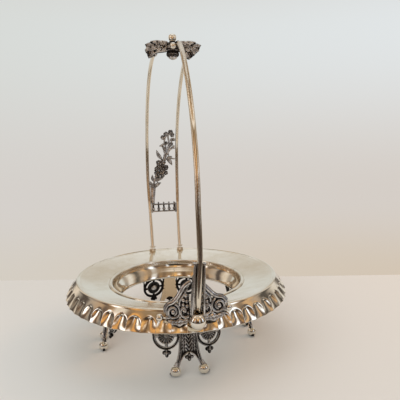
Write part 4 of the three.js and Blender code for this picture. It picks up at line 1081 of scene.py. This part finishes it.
# The first points of a rod's line, up to where it starts to run forward
RISING = 75


def laid_on_rods(parts):
    """Adds the rods' distance from the middle to each point, by the point's height."""
    line = rear_lines["right"][:RISING]
    laid = []
    for points, quads, hollow_and_painted_shade in parts:
        away = np.interp(points[:, 2:], line[:, 2], line[:, 1])
        laid.append((points + away * (0, 1, 0), quads, hollow_and_painted_shade))
    return laid


def small_turning(profile, x):
    """A baluster or finial: its profile turned about its own upright axis."""
    dark = np.clip(0.9 - profile[:, 0] / profile[:, 0].max() * 0.8, 0, 1)
    return shifted([turned(profile, 20, dark, ring=False)], x)[0]


def gallery_parts():
    """Two rails with a thread along each, a post at both ends, and balusters one pitch apart, with a
    finial over all but the first."""
    parts = []
    for height in (GALLERY_LOW + RAIL / 2, GALLERY_HIGH - RAIL / 2):
        rail = np.linspace((-GALLERY_HALF, 0, height), (GALLERY_HALF, 0, height), 30)
        parts.append(drawn(rail, 0.95, 1.15, sides=14, underside_dark=0.8))
        parts.append(drawn(rail + (0, -0.95, 0.45), 0.3, 0.45, sides=8))
    edge = GALLERY_HALF - POST_INSET
    for x in (-edge, edge):
        post = np.linspace((x, 0, GALLERY_LOW - 0.8), (x, 0, GALLERY_HIGH), 12)
        parts.append(drawn(post, 0.8, 0.95, sides=14))
    parts.append(bead(edge, 0, GALLERY_HIGH + 0.3, 0.8))
    urn = np.concatenate([URN + (0, GALLERY_LOW + RAIL - 0.2), [(1.2, GALLERY_HIGH - RAIL + 0.2)]])
    for k in range(BALUSTERS):
        x = (k - (BALUSTERS - 1) / 2) * BALUSTER_PITCH
        parts.append(small_turning(urn, x))
        if k > 0:
            parts.append(small_turning(FINIAL + (0, GALLERY_HIGH - 0.1), x))
    return parts


add_piece("gallery_rail", laid_on_rods(gallery_parts()), "dark_casting", "gallery")

# %% [markdown]
# ## Blossoms and leaves
#
# A blossom is a dome whose radius swells five times round it, with a fold between petals, and smaller
# whorls of petals inside it, each turned by half a petal. The stems are drawn bars that taper along.
# Places are shares: across, of the rods' spread, and up, of the spray's height above the rail.

# %% Blossoms
SPRAY_HEIGHT = 86.5
PETALS = 5
# A whorl from behind its middle out to its rim and back over its front: reach, as a share of the
# radius, and rise
PETAL_REACH = np.array([0.12, 0.5, 0.86, 1.0, 0.96, 0.8, 0.5, 0.2])[:, None]
PETAL_RISE = np.array([0.0, 0.0, 0.1, 0.35, 0.6, 0.62, 0.4, 0.3])[:, None]
# Size and lift of each whorl, as shares of the blossom's
WHORLS = ((1.0, 0.0), (0.72, 0.34), (0.42, 0.62))


def on_spray(places):
    """Shares to millimetres: across times the rods' spread, and up times the spray's height, above the
    rail."""
    places = np.asarray(places, float)
    return np.stack([places[..., 0] * ROD_SIDE, GALLERY_HIGH + 0.35 + places[..., 1] * SPRAY_HEIGHT], -1)


def blossom(x, z, radius, deep, spin):
    """Whorls of petals: each rises from its rim and falls to a cup in the middle. Its reach and its
    rise swell five times round, by the cosine of the angle."""
    parts = []
    angle = full_turn(80)
    for whorl, (size, lift) in enumerate(WHORLS):
        turn = spin + whorl * np.pi / PETALS
        lobes = np.abs(np.cos(PETALS * (angle - turn) / 2))
        reach = radius * size * PETAL_REACH * (0.78 + 0.22 * lobes**0.7)
        out = deep * (lift + PETAL_RISE * 0.62 + 0.16 * PETAL_RISE * lobes * PETAL_REACH)
        dark = np.clip(1.1 - 1.15 * lobes**1.5 * PETAL_RISE / PETAL_RISE.max() - 0.05 * whorl, 0, 1)
        parts.append(skin(flat(on_circle(x, z, reach, angle), out - 0.5), dark))
    parts.append(bead(x, -deep * 0.92, z, 0.17 * radius + 0.25, steps=10))
    return parts


# %% Twigs and the holder
TWIG = 1.15
HOLDER = (-0.735, 0.0)
HOLDER_TALL = 19.8
HOLDER_RIBS = 8
HOLDER_ROWS = 22


def twig(places):
    """A bar along a smooth line through places. It tapers, and sways a little to the front."""
    line = along(on_spray(places), 12 * len(places))
    width = TWIG * np.linspace(1.1, 0.75, len(line))
    wave = 0.35 * np.sin(np.linspace(0, 9, len(line)))
    return drawn(flat(line, wave), width, sides=12, underside_dark=0.9, film=0.1)


def holder_parts():
    """The ribbed cone on the rail: its radius waves eight times round, and it has a collar above."""
    x, base = on_spray(HOLDER)
    share = np.linspace(0, 1, HOLDER_ROWS)
    radius = 1.95 + 1.15 * share**0.9 + 0.35 * bump(share, 0.06, 0.05)
    collar = np.array([(3.35, 0.2), (3.45, 0.9), (2.4, 1.2)]) + (0, HOLDER_TALL)
    profile = np.concatenate([np.stack([radius, HOLDER_TALL * share], -1), collar])
    depth = np.r_[np.full(HOLDER_ROWS, 0.12), 0.05, 0.2, 0.1]
    cone = petals(profile, HOLDER_RIBS, depth, steps=72, film=0.2)
    flattened = np.diag([1.0, 0.6, 1.0, 1.0])
    return placed([cone], shift_by(x, 0, base) @ turned_about("Y", 3.6) @ flattened)


# %% Places on the spray
STEMS = (
    [(-0.64, 0.2), (-0.55, 0.31), (-0.2, 0.47), (0.2, 0.64), (0.5, 0.76), (0.72, 0.9)],
    [(0.12, 0.62), (0.26, 0.76), (0.16, 0.86), (0.3, 0.95)],
    [(0.05, 0.58), (0.45, 0.72), (0.7, 0.765), (0.84, 0.8)],
    [(0.35, 0.67), (0.46, 0.84), (0.4, 0.93), (0.55, 0.97)],
    [(0.1, 0.6), (0.5, 0.62), (1 - (ROD_RADIUS + 0.7) / ROD_SIDE, 0.615)],
)
# Base, tip and half width
LEAVES = (
    ((-0.57, 0.22), (-0.1, 0.285), 2.1), ((-0.5, 0.31), (0.04, 0.345), 2.2),
    ((-0.62, 0.23), (-0.84, 0.31), 1.8), ((-0.6, 0.3), (-0.68, 0.4), 1.7),
    ((-0.5, 0.36), (-0.36, 0.28), 1.6), ((-0.02, 0.61), (-0.38, 0.745), 2.1),
    ((0.34, 0.615), (0.68, 0.522), 2.2), ((0.3, 0.6), (0.7, 0.65), 2.0),
    ((0.1, 0.74), (0.2, 0.65), 1.3), ((0.02, 0.8), (0.14, 0.71), 1.5),
    ((0.14, 0.83), (-0.2, 0.795), 1.6), ((0.16, 0.88), (0.0, 0.935), 1.6),
    ((0.22, 0.92), (-0.04, 0.895), 1.5), ((0.56, 0.86), (0.82, 0.9), 1.5),
    ((0.62, 0.78), (0.86, 0.75), 1.5), ((0.45, 0.95), (0.2, 0.985), 1.5),
    ((0.66, 0.9), (0.86, 0.86), 1.5), ((0.3, 0.69), (0.46, 0.655), 1.3),
)
# Place and radius. The first one is the rose, with buds round it
BLOSSOMS = (
    ((-0.06, 0.455), 5.6), ((0.05, 0.575), 4.0), ((-0.24, 0.565), 3.4), ((-0.36, 0.37), 3.3),
    ((0.26, 0.955), 3.3), ((0.56, 0.98), 3.4), ((0.68, 0.945), 2.9), ((0.27, 0.835), 2.4),
    ((0.62, 0.82), 2.6), ((0.74, 0.885), 2.2), ((0.04, 0.915), 2.8), ((-0.38, 0.48), 3.0),
    ((0.27, 0.5), 3.0), ((-0.44, 0.42), 2.4),
)
ROSE_BUDS = 7


def spray_parts():
    """The holder, stems, leaves and blossoms, and a circle of buds round the rose."""
    parts = holder_parts() + [twig(places) for places in STEMS]
    for base, tip, half in LEAVES:
        parts.append(leaf(on_spray(base), on_spray(tip), 1.05 * half, 0.3, bend=0.9, thick=1.9))
    for turn, (place, radius) in enumerate(BLOSSOMS):
        x, z = on_spray(place)
        parts += blossom(x, z, radius, max(2.3, 0.6 * radius), spin=0.7 * turn)
    x, z = on_spray(BLOSSOMS[0][0])
    for angle in 0.4 + full_turn(ROSE_BUDS):
        parts += blossom(x + 5.9 * np.cos(angle), z + 6.4 * np.sin(angle), 2.9, 3.6, spin=angle)
    return parts


add_piece("flower_spray_casting", laid_on_rods(spray_parts()), "dark_casting", "flower_spray")

# %% [markdown]
# ## The crown
#
# The three legs meet in a casting whose two arms carry scrolled leaves on both faces. Its body follows
# an outline given in shares of the arms' reach and of the crown's height. Leaves, rosettes and scrolls
# stand on the front and, mirrored, on the back, because the handle is seen from every side.

# %% Arms
CROWN_X = 0.9
CROWN_LOW, CROWN_TALL = 279.8, 8.8
ARM_REACH = 25.5
REACH = {-1: ARM_REACH, 1: 26.8}
MIRROR_Y = np.diag([1.0, -1.0, 1.0, 1.0])
ARM_HALF = 4.0
ARM_ROWS = 44
HANGING = {
    -1: [(0.6, -0.12), (0.76, -0.44), (0.88, -0.64), (0.94, -0.2), (0.95, 0.3)],
    1: [(0.42, -0.28), (0.5, -0.6), (0.6, -0.7), (0.74, -0.38), (0.9, 0.1)],
}
UPPER_EDGE = [(0.1, 0.9), (0.3, 1.0), (0.51, 1.03), (0.68, 0.98), (0.82, 0.88), (0.9, 0.8), (0.95, 0.72),
              (0.98, 0.62)]


def on_crown(places):
    """Shares to millimetres: across times the arms' reach, and up times the crown's height, above its
    foot."""
    places = np.asarray(places, float)
    return np.stack([places[..., 0] * ARM_REACH, CROWN_LOW + places[..., 1] * CROWN_TALL], -1)


def arm_body(side):
    """The arm between its lower and upper line, rounded off toward both faces and toward its tip."""
    low = along(on_crown([(0.1, 0.02), (0.3, 0.0), *HANGING[side], (0.97, 0.55)]), ARM_ROWS)
    high = along(on_crown(UPPER_EDGE), ARM_ROWS)
    across = np.linspace(0, 1, 13)
    grid = between(low, high, across)
    swell = (1 - np.abs(2 * across - 1) ** 2.6) * np.linspace(1, 0.45, ARM_ROWS)[:, None]
    ripple = np.cos(2.6 * grid[..., 0] + 1.2 * grid[..., 1]) * np.sin(np.pi * across)
    front = flat(grid, 0.8 + (ARM_HALF - 1.6) * swell + 0.22 * ripple)
    return moulded(front, front * (1, -1, 1), np.clip(0.55 - 0.4 * ripple, 0, 1))


# %% Dressing of the arms
ROSETTE = [(3.4, -0.8), (3.5, 0.5), (2.9, 1.0), (2.1, 0.5), (1.4, 1.3), (0.6, 1.7), (0, 1.8)]
# Base, tip, half width and bend
CROWN_LEAVES = (
    ((0.22, 0.66), (0.4, 1.0), 1.7, 0.5), ((0.36, 0.62), (0.58, 1.0), 1.8, 0.6),
    ((0.54, 0.62), (0.78, 0.98), 1.9, 0.6), ((0.66, 0.42), (1.0, 0.66), 2.0, 0.6),
    ((0.6, 0.3), (0.86, 0.28), 1.9, -0.5), ((0.24, 0.34), (0.44, 0.04), 1.7, -0.5),
    ((0.44, 0.3), (0.62, 0.0), 1.7, -0.5), ((0.7, 0.12), (0.93, 0.12), 1.5, -0.4),
)
CROWN_BEADS = ((7.4, 286.4, 1.3), (7.2, 281.9, 1.0), (18.2, 283.2, 1.2), (11.0, 287.4, 1.5),
               (16.6, 287.6, 1.6))


def crown_dressing(side):
    """What stands on one face of one arm: big curled leaves, a rosette, a scroll and the outer tip. Two
    of the leaves hang where the arm's lower line does."""
    out = ARM_HALF - 1.4
    tip, turn = np.array(HANGING[side][2:4])
    hanging = (
        (tip + (-0.16, 0.62), tip + (-0.02, -0.02), 1.8, -0.6),
        (turn + (-0.08, 0.6), turn + (0.02, 0.0), 1.8, 0.5),
    )
    parts = [raised(ROSETTE, 13.2, CROWN_LOW + 4.0, out - 0.1, steps=72, rays=8, depth=0.5)]
    for base, end, half, bend in CROWN_LEAVES + hanging:
        parts.append(leaf(on_crown(base), on_crown(end), half, out - 0.7, bend, lobes=2, thick=1.9))
    x, z = on_crown((0.88, 0.66))
    parts.append(bead(x, -out + 0.4, z, 1.3, steps=14))
    edge = along(on_crown([(0.2, 0.06), (0.32, 0.0), *HANGING[side][:3]]), 24)
    parts.append(drawn(flat(edge, out - 0.4), 0.6, 0.9, sides=10))
    upper = along(on_crown([(0.2, 0.94), (0.4, 1.02), (0.62, 1.02), (0.8, 0.92)]), 24)
    parts.append(drawn(flat(upper, out - 0.8), 0.7, 1.1, sides=12))
    return parts + [bead(x, -out - 0.2, z, size, steps=12) for x, z, size in CROWN_BEADS]


# %% Boss and sockets
BOSS = np.array([(2.0, 0), (5.6, 0), (6.3, 0.9), (6.0, 1.7), (6.4, 2.6), (6.4, 5.0), (5.9, 5.8), (6.1, 6.6),
                 (5.2, 7.6), (3.4, 8.3), (3.1, 8.8), (1.5, 8.8)])
BOSS_HOLLOWS = [0.9, 0.6, 0.3, 0.9, 0.3, 0.4, 0.9, 0.35, 0.5, 0.8, 0.5, 0.6]
BOSS_BEADS = 8
# A socket's rings: how far each lies before a leg's end, and how thick its wall is
SOCKET_RUN = (-2.2, 0.2, 1.2, 1.9)
SOCKET_WALL = np.array([0.7, 1.0, 1.1, 0.75])
LEGS = [(stem_line, STEM_RADIUS)] + [(line, ROD_RADIUS) for line in rear_lines.values()]


def crown_parts():
    """Two arms dressed in front and, mirrored, behind; the turned boss with a circle of beads; and a
    socket round the end of each leg."""
    parts = []
    for side in (-1, 1):
        dressing = crown_dressing(side)
        arm = [arm_body(side)] + dressing + placed(dressing, MIRROR_Y)
        parts += placed(arm, np.diag([side * REACH[side] / ARM_REACH, 1.0, 1.0, 1.0]))
    parts.append(turned(BOSS + (0, CROWN_LOW), 64, BOSS_HOLLOWS))
    for place in about_z(6.2, full_turn(BOSS_BEADS) + 0.39, CROWN_LOW + 3.8):
        parts.append(bead(*place, 0.85, 1.5, steps=12))
    parts = shifted(parts, CROWN_X)
    for line, radius in LEGS:
        tube = line[-1] + np.outer(SOCKET_RUN, unit(line[-4] - line[-1]))
        parts.append(drawn(tube, radius + SOCKET_WALL, facing=(1, 0, 0), sides=24))
    return parts


add_piece("crown_casting", crown_parts(), "cast_silver", "crown")

# %% Balls and the drop
top_low, top_high = box_mm("top_ball")
TOP_BALL = (top_high[0] - top_low[0]) / 2
cuff = np.array([(1.6, 0), (2.9, 0.1), (3.0, 0.6), (2.3, 1.1), (1.6, 1.3)]) + (0, top_low[2])
globe = arc(TOP_BALL, begin=-1.15, count=37) + (0, top_high[2] - TOP_BALL)
top_ball = shifted([turned(globe, 64, ring=False), turned(cuff, 48, 0.4)], CROWN_X)
add_piece("top_ball_turned", top_ball, "bright_ball", "top_ball")

knob_low, knob_high = box_mm("front_ball")
KNOB = (knob_high[0] - knob_low[0]) / 2
knob_centre = ((knob_low[0] + knob_high[0]) / 2, knob_low[1] + KNOB, (knob_low[2] + knob_high[2]) / 2)
knob = turned(arc(KNOB, count=33), 48, ring=False)
neck_line = [(0, 1.8, 0), (0, 3.0, 0), (0, 3.8, 0), (0, knob_high[1] - knob_centre[1], 0)]
neck = drawn(neck_line, (1.3, 1.25, 1.7, 1.5), facing=(0, 0, 1), sides=24)
add_piece("front_ball_knob", shifted([knob, neck], *knob_centre), "bright_ball", "front_ball")

drop_low, drop_high = box_mm("drop_finial")
DROP = (drop_high[0] - drop_low[0]) / 2
drop_foot = (0, drop_low[2])
CAP = np.array([(0.5, 0), (1.7, 0.15), (3.1, 0.8), (3.9, 1.6), (4.2, 2.4)])
BANDS = np.array([(4.0, 2.3), (4.7, 2.5), (5.3, 3.1), (4.9, 3.3), (5.7, 3.7), (DROP, 4.5), (5.7, 4.9),
                  (6.1, 5.4), (5.6, 5.9)])
# Hollow depth at these rows of the bands
HOLLOW_ROWS = [0, 6, 12, 18, 24, 30, 36, 42, 48, 59]
HOLLOWS = [1, 0.9, 0.3, 1, 0.7, 0.25, 1, 0.35, 0.9, 0.9]
cap = turned(along(CAP + drop_foot, 24), 64, ring=False)
bands = along([*(BANDS + drop_foot), (5.4, drop_high[2]), (4.4, drop_high[2])], 60)
drop = [cap, turned(bands, 96, np.interp(np.arange(60), HOLLOW_ROWS, HOLLOWS), ring=False)]
add_piece("drop_finial_turned", shifted(drop, CROWN_X), "cast_silver", "drop_finial")

# %% Nuts and stud
for fastener in ("rear_nut_left", "rear_nut_right", "crown_stud"):
    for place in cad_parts[fastener].material_slots:
        place.material = MATERIALS["brass_screw"]
    print(fastener, "keeps its CAD shape and takes the brass finish")

# %% [markdown]
# ## Table and light
#
# Polished metal shows its surroundings more than its own colour. The object stands on a white table
# before a white wall, and behind the camera the room is darker and warmer: that side is what gives the
# flutes, balls and stem their brown and amber. A photographer would set up a toned reflector for it. This
# scene paints that room on a glowing bent sheet in front of and above the object, which only reflections
# see, so its tones are painted reflections and its bright windows painted highlights. A warm lamp stands
# at the right, so the ring's shadow falls to the left, and a weaker one at the front left. Flat daylight
# from that side reaches under the ring. None of the lamps shows in reflections.

# %% The table
TABLE_EDGE = 0.19
TABLE_WIDTH = 3.0
TABLE_DEPTH = 1.6
LINEN = (0.695, 0.655, 0.605)


def plain_material(name, colour, roughness):
    """One colour all over, without gloss."""
    material = bpy.data.materials.new(name)
    material.use_nodes = True
    shader = material.node_tree.nodes["Principled BSDF"]
    shader.inputs["Base Color"].default_value = (*colour, 1)
    shader.inputs["Roughness"].default_value = roughness
    shader.inputs["Specular IOR Level"].default_value = 0.0
    return material


def stage_object(name, points, faces, material):
    """A mesh that belongs to the stage and not to the object."""
    mesh = bpy.data.meshes.new(name)
    mesh.from_pydata(points, [], faces)
    mesh.materials.append(material)
    piece = bpy.data.objects.new(name, mesh)
    scene.collection.objects.link(piece)
    return piece


def table_top():
    """A plane whose far edge runs square to the camera's view."""
    away = np.array([math.sin(-CAMERA_YAW), math.cos(CAMERA_YAW)])
    right = np.array([away[1], -away[0]])
    corners = [away * TABLE_EDGE + right * s * TABLE_WIDTH / 2 for s in (-1, 1)]
    corners += [c - away * TABLE_DEPTH for c in corners[::-1]]
    return stage_object("table", [(x, y, 0) for x, y in corners], [(3, 2, 1, 0)],
                        plain_material("table", LINEN, 0.55))


table_top()
print("table", TABLE_WIDTH, "by", TABLE_DEPTH, "m")

# %% Tones of the reflector
REFLECTOR_SPREAD = math.radians(136)
REFLECTOR_BEND = [(0.34, 0.0), (0.345, 0.16), (0.34, 0.30), (0.30, 0.44), (0.20, 0.56), (0.05, 0.61)]
# Bands: share of the way up the sheet, and tone
REFLECTOR_TONES = (
    (0.00, (0.050, 0.034, 0.026)), (0.17, (0.075, 0.050, 0.036)), (0.22, (0.26, 0.15, 0.08)),
    (0.28, (0.55, 0.31, 0.13)), (0.34, (0.50, 0.31, 0.15)), (0.40, (0.34, 0.225, 0.13)),
    (0.46, (0.34, 0.235, 0.14)), (0.50, (0.34, 0.245, 0.15)), (0.54, (1.1, 1.0, 0.90)),
    (0.59, (0.60, 0.42, 0.26)), (0.67, (0.60, 0.44, 0.29)), (0.75, (0.40, 0.31, 0.22)),
    (0.82, (0.36, 0.31, 0.26)), (0.90, (0.90, 0.88, 0.85)), (1.00, (1.0, 0.98, 0.95)),
)
SIDE_TONE = (0.55, 0.51, 0.46)
SIDE_STRENGTH = 0.7
WINDOW_SOFT = 0.12
# Painted windows, which give the highlights, and painted dark strips: azimuth and half its width in
# degrees, lower and upper share, and tone
WINDOWS = (
    (-118, 7, 0.00, 0.55, (0.85, 0.76, 0.66)), (-99, 6, 0.00, 0.38, (0.10, 0.08, 0.07)),
    (-71, 4, 0.04, 0.36, (0.14, 0.10, 0.08)), (-47, 3.5, 0.00, 0.40, (0.12, 0.075, 0.05)),
    (-57, 5, 0.08, 0.34, (2.0, 1.95, 2.0)), (-57, 6, 0.35, 0.46, (0.95, 0.88, 0.80)),
    (-57, 6, 0.54, 0.78, (1.9, 1.75, 1.6)), (-38, 5, 0.15, 0.42, (0.90, 0.46, 0.15)),
    (-25, 2.5, 0.08, 0.31, (1.3, 1.27, 1.32)), (-14, 5, 0.00, 0.50, (0.17, 0.10, 0.06)),
    (8, 5, 0.20, 0.45, (0.95, 0.54, 0.20)), (-2, 4, 0.36, 0.41, (1.9, 1.7, 1.5)),
    (22, 2.5, 0.08, 0.31, (1.15, 1.25, 1.40)), (34, 5, 0.10, 0.50, (0.24, 0.16, 0.10)),
    (48, 3.5, 0.00, 0.40, (0.13, 0.09, 0.07)), (70, 4, 0.04, 0.36, (0.13, 0.11, 0.10)),
    (58, 5, 0.08, 0.34, (1.6, 1.8, 2.1)), (58, 6, 0.35, 0.46, (0.85, 0.85, 0.85)),
    (58, 6, 0.54, 0.78, (1.6, 1.65, 1.7)), (78, 4, 0.10, 0.40, (0.75, 0.50, 0.28)),
    (99, 6, 0.00, 0.38, (0.10, 0.09, 0.08)), (118, 7, 0.00, 0.55, (0.85, 0.82, 0.78)),
)
print("reflector with", len(REFLECTOR_TONES), "bands and", len(WINDOWS), "windows and strips")


# %% Painting the reflector
def smooth_box(value, low, high, soft):
    """1 between low and high, 0 outside, with S-shaped flanks that are soft wide."""
    rise = np.clip((value - low) / soft + 0.5, 0, 1)
    fall = np.clip((high - value) / soft + 0.5, 0, 1)
    step = np.minimum(rise, fall)
    return step * step * (3 - 2 * step)


def painted(tone, colour, mask):
    """The tone with a colour laid over it, by the mask's share at each point."""
    return tone * (1 - mask[..., None]) + np.array(colour) * mask[..., None]


def room_tone(azimuth, share):
    """The painted reflection of the room by azimuth in degrees and share of the way up: bands that change
    with the height, a paler tone at both sides, and over them a few tall windows, which are painted
    highlights."""
    heights, bands = zip(*REFLECTOR_TONES)
    tone = np.stack([np.interp(share, heights, band) for band in zip(*bands)], -1)
    lower = np.clip(share / 0.2, 0.25, 1) * (1 - smooth_box(share, 0.6, 2, 0.2))
    tone = painted(tone, SIDE_TONE, SIDE_STRENGTH * smooth_box(np.abs(azimuth), 78, 180, 36) * lower)
    for centre, half, low, high, colour in WINDOWS:
        across = smooth_box(azimuth, centre - half, centre + half, half)
        tone = painted(tone, colour, across * smooth_box(share, low, high, WINDOW_SOFT))
    return tone


# %% The bent sheet
def reflector():
    """A bent sheet: the bend's radius and height, swept over the azimuth about the camera's side. It glows
    with the painted room and only reflections see it.
    """
    bend = along(REFLECTOR_BEND, 48)
    turn = np.linspace(-REFLECTOR_SPREAD, REFLECTOR_SPREAD, 160)
    lengths = np.concatenate([[0], np.cumsum(np.linalg.norm(np.diff(bend, axis=0), axis=1))])
    share, azimuth = np.meshgrid(lengths / lengths[-1], turn, indexing="ij")
    points = about_z(bend[:, :1], azimuth + CAMERA_YAW - np.pi / 2, bend[:, 1:]).reshape(-1, 3)
    rows, steps = azimuth.shape
    corner = (np.arange(rows - 1)[:, None] * steps + np.arange(steps - 1)).ravel()
    faces = np.stack([corner, corner + 1, corner + steps + 1, corner + steps], -1)
    material = bpy.data.materials.new("reflector")
    material.use_nodes = True
    tree = material.node_tree
    tree.nodes.remove(tree.nodes["Principled BSDF"])
    tone = node(tree, "ShaderNodeAttribute", attribute_name="tone")
    # The sheet glows with its painted tones: painted reflections of the room and painted highlights.
    light = node(tree, "ShaderNodeEmission", {"Color": tone.outputs["Color"], "Strength": 1.0})
    tree.links.new(light.outputs[0], tree.nodes["Material Output"].inputs["Surface"])
    sheet = stage_object("reflector", points.tolist(), faces.tolist(), material)
    tones = np.ones((*azimuth.shape, 4), np.float32)
    tones[..., :3] = room_tone(np.degrees(azimuth), share)
    sheet.data.attributes.new("tone", "FLOAT_COLOR", "POINT").data.foreach_set("color", tones.ravel())
    for ray in ("camera", "diffuse", "shadow", "transmission", "volume_scatter"):
        setattr(sheet, f"visible_{ray}", False)


reflector()
print("reflector swept", round(math.degrees(REFLECTOR_SPREAD)), "degrees to each side")

# %% The room
ZENITH = (0.88, 0.90, 0.92)
# Tones of the wall at these shares of the height, at the left and at the right. They paint the
# wall's light and shade: it is brighter at the right, and warmer low down there.
WALL_STOPS = (0.07, 0.19, 0.43, 0.58, 0.82)
WALL_LEFT = ((0.660, 0.612, 0.541), (0.665, 0.632, 0.598), (0.686, 0.708, 0.686), (0.64, 0.615, 0.57),
             ZENITH)
WALL_RIGHT = ((0.651, 0.558, 0.451), (0.665, 0.616, 0.570), (0.753, 0.783, 0.791), (0.64, 0.61, 0.56),
              ZENITH)


def room_light():
    """The wall as lit, by direction: two ramps up the wall, mixed from left to right, which paint its
    light and shade. Above what the camera sees it grows darker and then pale overhead, and the plate
    reflects that part."""
    world = bpy.data.worlds.new("room")
    scene.world = world
    world.use_nodes = True
    tree = world.node_tree
    way = tree.nodes.new("ShaderNodeTexCoord").outputs["Generated"]
    parts = node(tree, "ShaderNodeSeparateXYZ", {0: way})
    upward = {"Value": parts.outputs["Z"], "From Min": -0.4, "From Max": 1.0}
    height = node(tree, "ShaderNodeMapRange", upward)
    sides = []
    for tones in (WALL_LEFT, WALL_RIGHT):
        ramp = node(tree, "ShaderNodeValToRGB", {0: height.outputs[0]})
        ramp.color_ramp.interpolation = "EASE"
        stops = ramp.color_ramp.elements
        for position in WALL_STOPS[1:-1]:
            stops.new(position)
        for stop, position, colour in zip(stops, WALL_STOPS, tones):
            stop.position = position
            stop.color = (*colour, 1)
        sides.append(ramp.outputs[0])
    sideways = {"Value": parts.outputs["X"], "From Min": -0.2, "From Max": 0.55}
    span = node(tree, "ShaderNodeMapRange", sideways)
    wall = mixed(tree, span.outputs[0], *sides)
    tree.links.new(wall, tree.nodes["Background"].inputs["Color"])
    tree.nodes["Background"].inputs["Strength"].default_value = 1.0


room_light()
print("room with", len(WALL_STOPS), "tones up the wall")

# %% The lamps
LAMP_AIM = 0.1
DAYLIGHT_WAY = (0.30, 0.60, -0.17)
WARM, COOL, DAYLIGHT = (1.0, 0.52, 0.20), (0.90, 0.92, 0.95), (0.74, 0.92, 1.0)


def lamp(name, kind, place, toward, power, colour):
    """A lamp for the table and the shadow. Reflections see the reflector's windows instead of it."""
    light = bpy.data.lights.new(name, kind)
    light.energy = power
    light.color = colour
    holder = bpy.data.objects.new(name, light)
    holder.location = place
    holder.rotation_euler = Vector(toward).to_track_quat("-Z", "Y").to_euler()
    holder.visible_glossy = False
    scene.collection.objects.link(holder)
    return light


def soft_lamp(name, place, size, power, colour):
    """A rectangle of light that looks at a point above the table's middle."""
    light = lamp(name, "AREA", place, Vector((0, 0, LAMP_AIM)) - Vector(place), power, colour)
    light.shape = "RECTANGLE"
    light.size, light.size_y = size


soft_lamp("window", place=(0.80, 0.10, 0.70), size=(0.32, 0.42), power=1.8, colour=WARM)
soft_lamp("fill", place=(-0.60, -0.45, 0.50), size=(0.4, 0.4), power=1.3, colour=COOL)
daylight = lamp("low daylight", "SUN", place=(0, 0, 0), toward=DAYLIGHT_WAY, power=1.15, colour=DAYLIGHT)
daylight.angle = math.radians(25)
print("lamps", [light.name for light in bpy.data.lights])
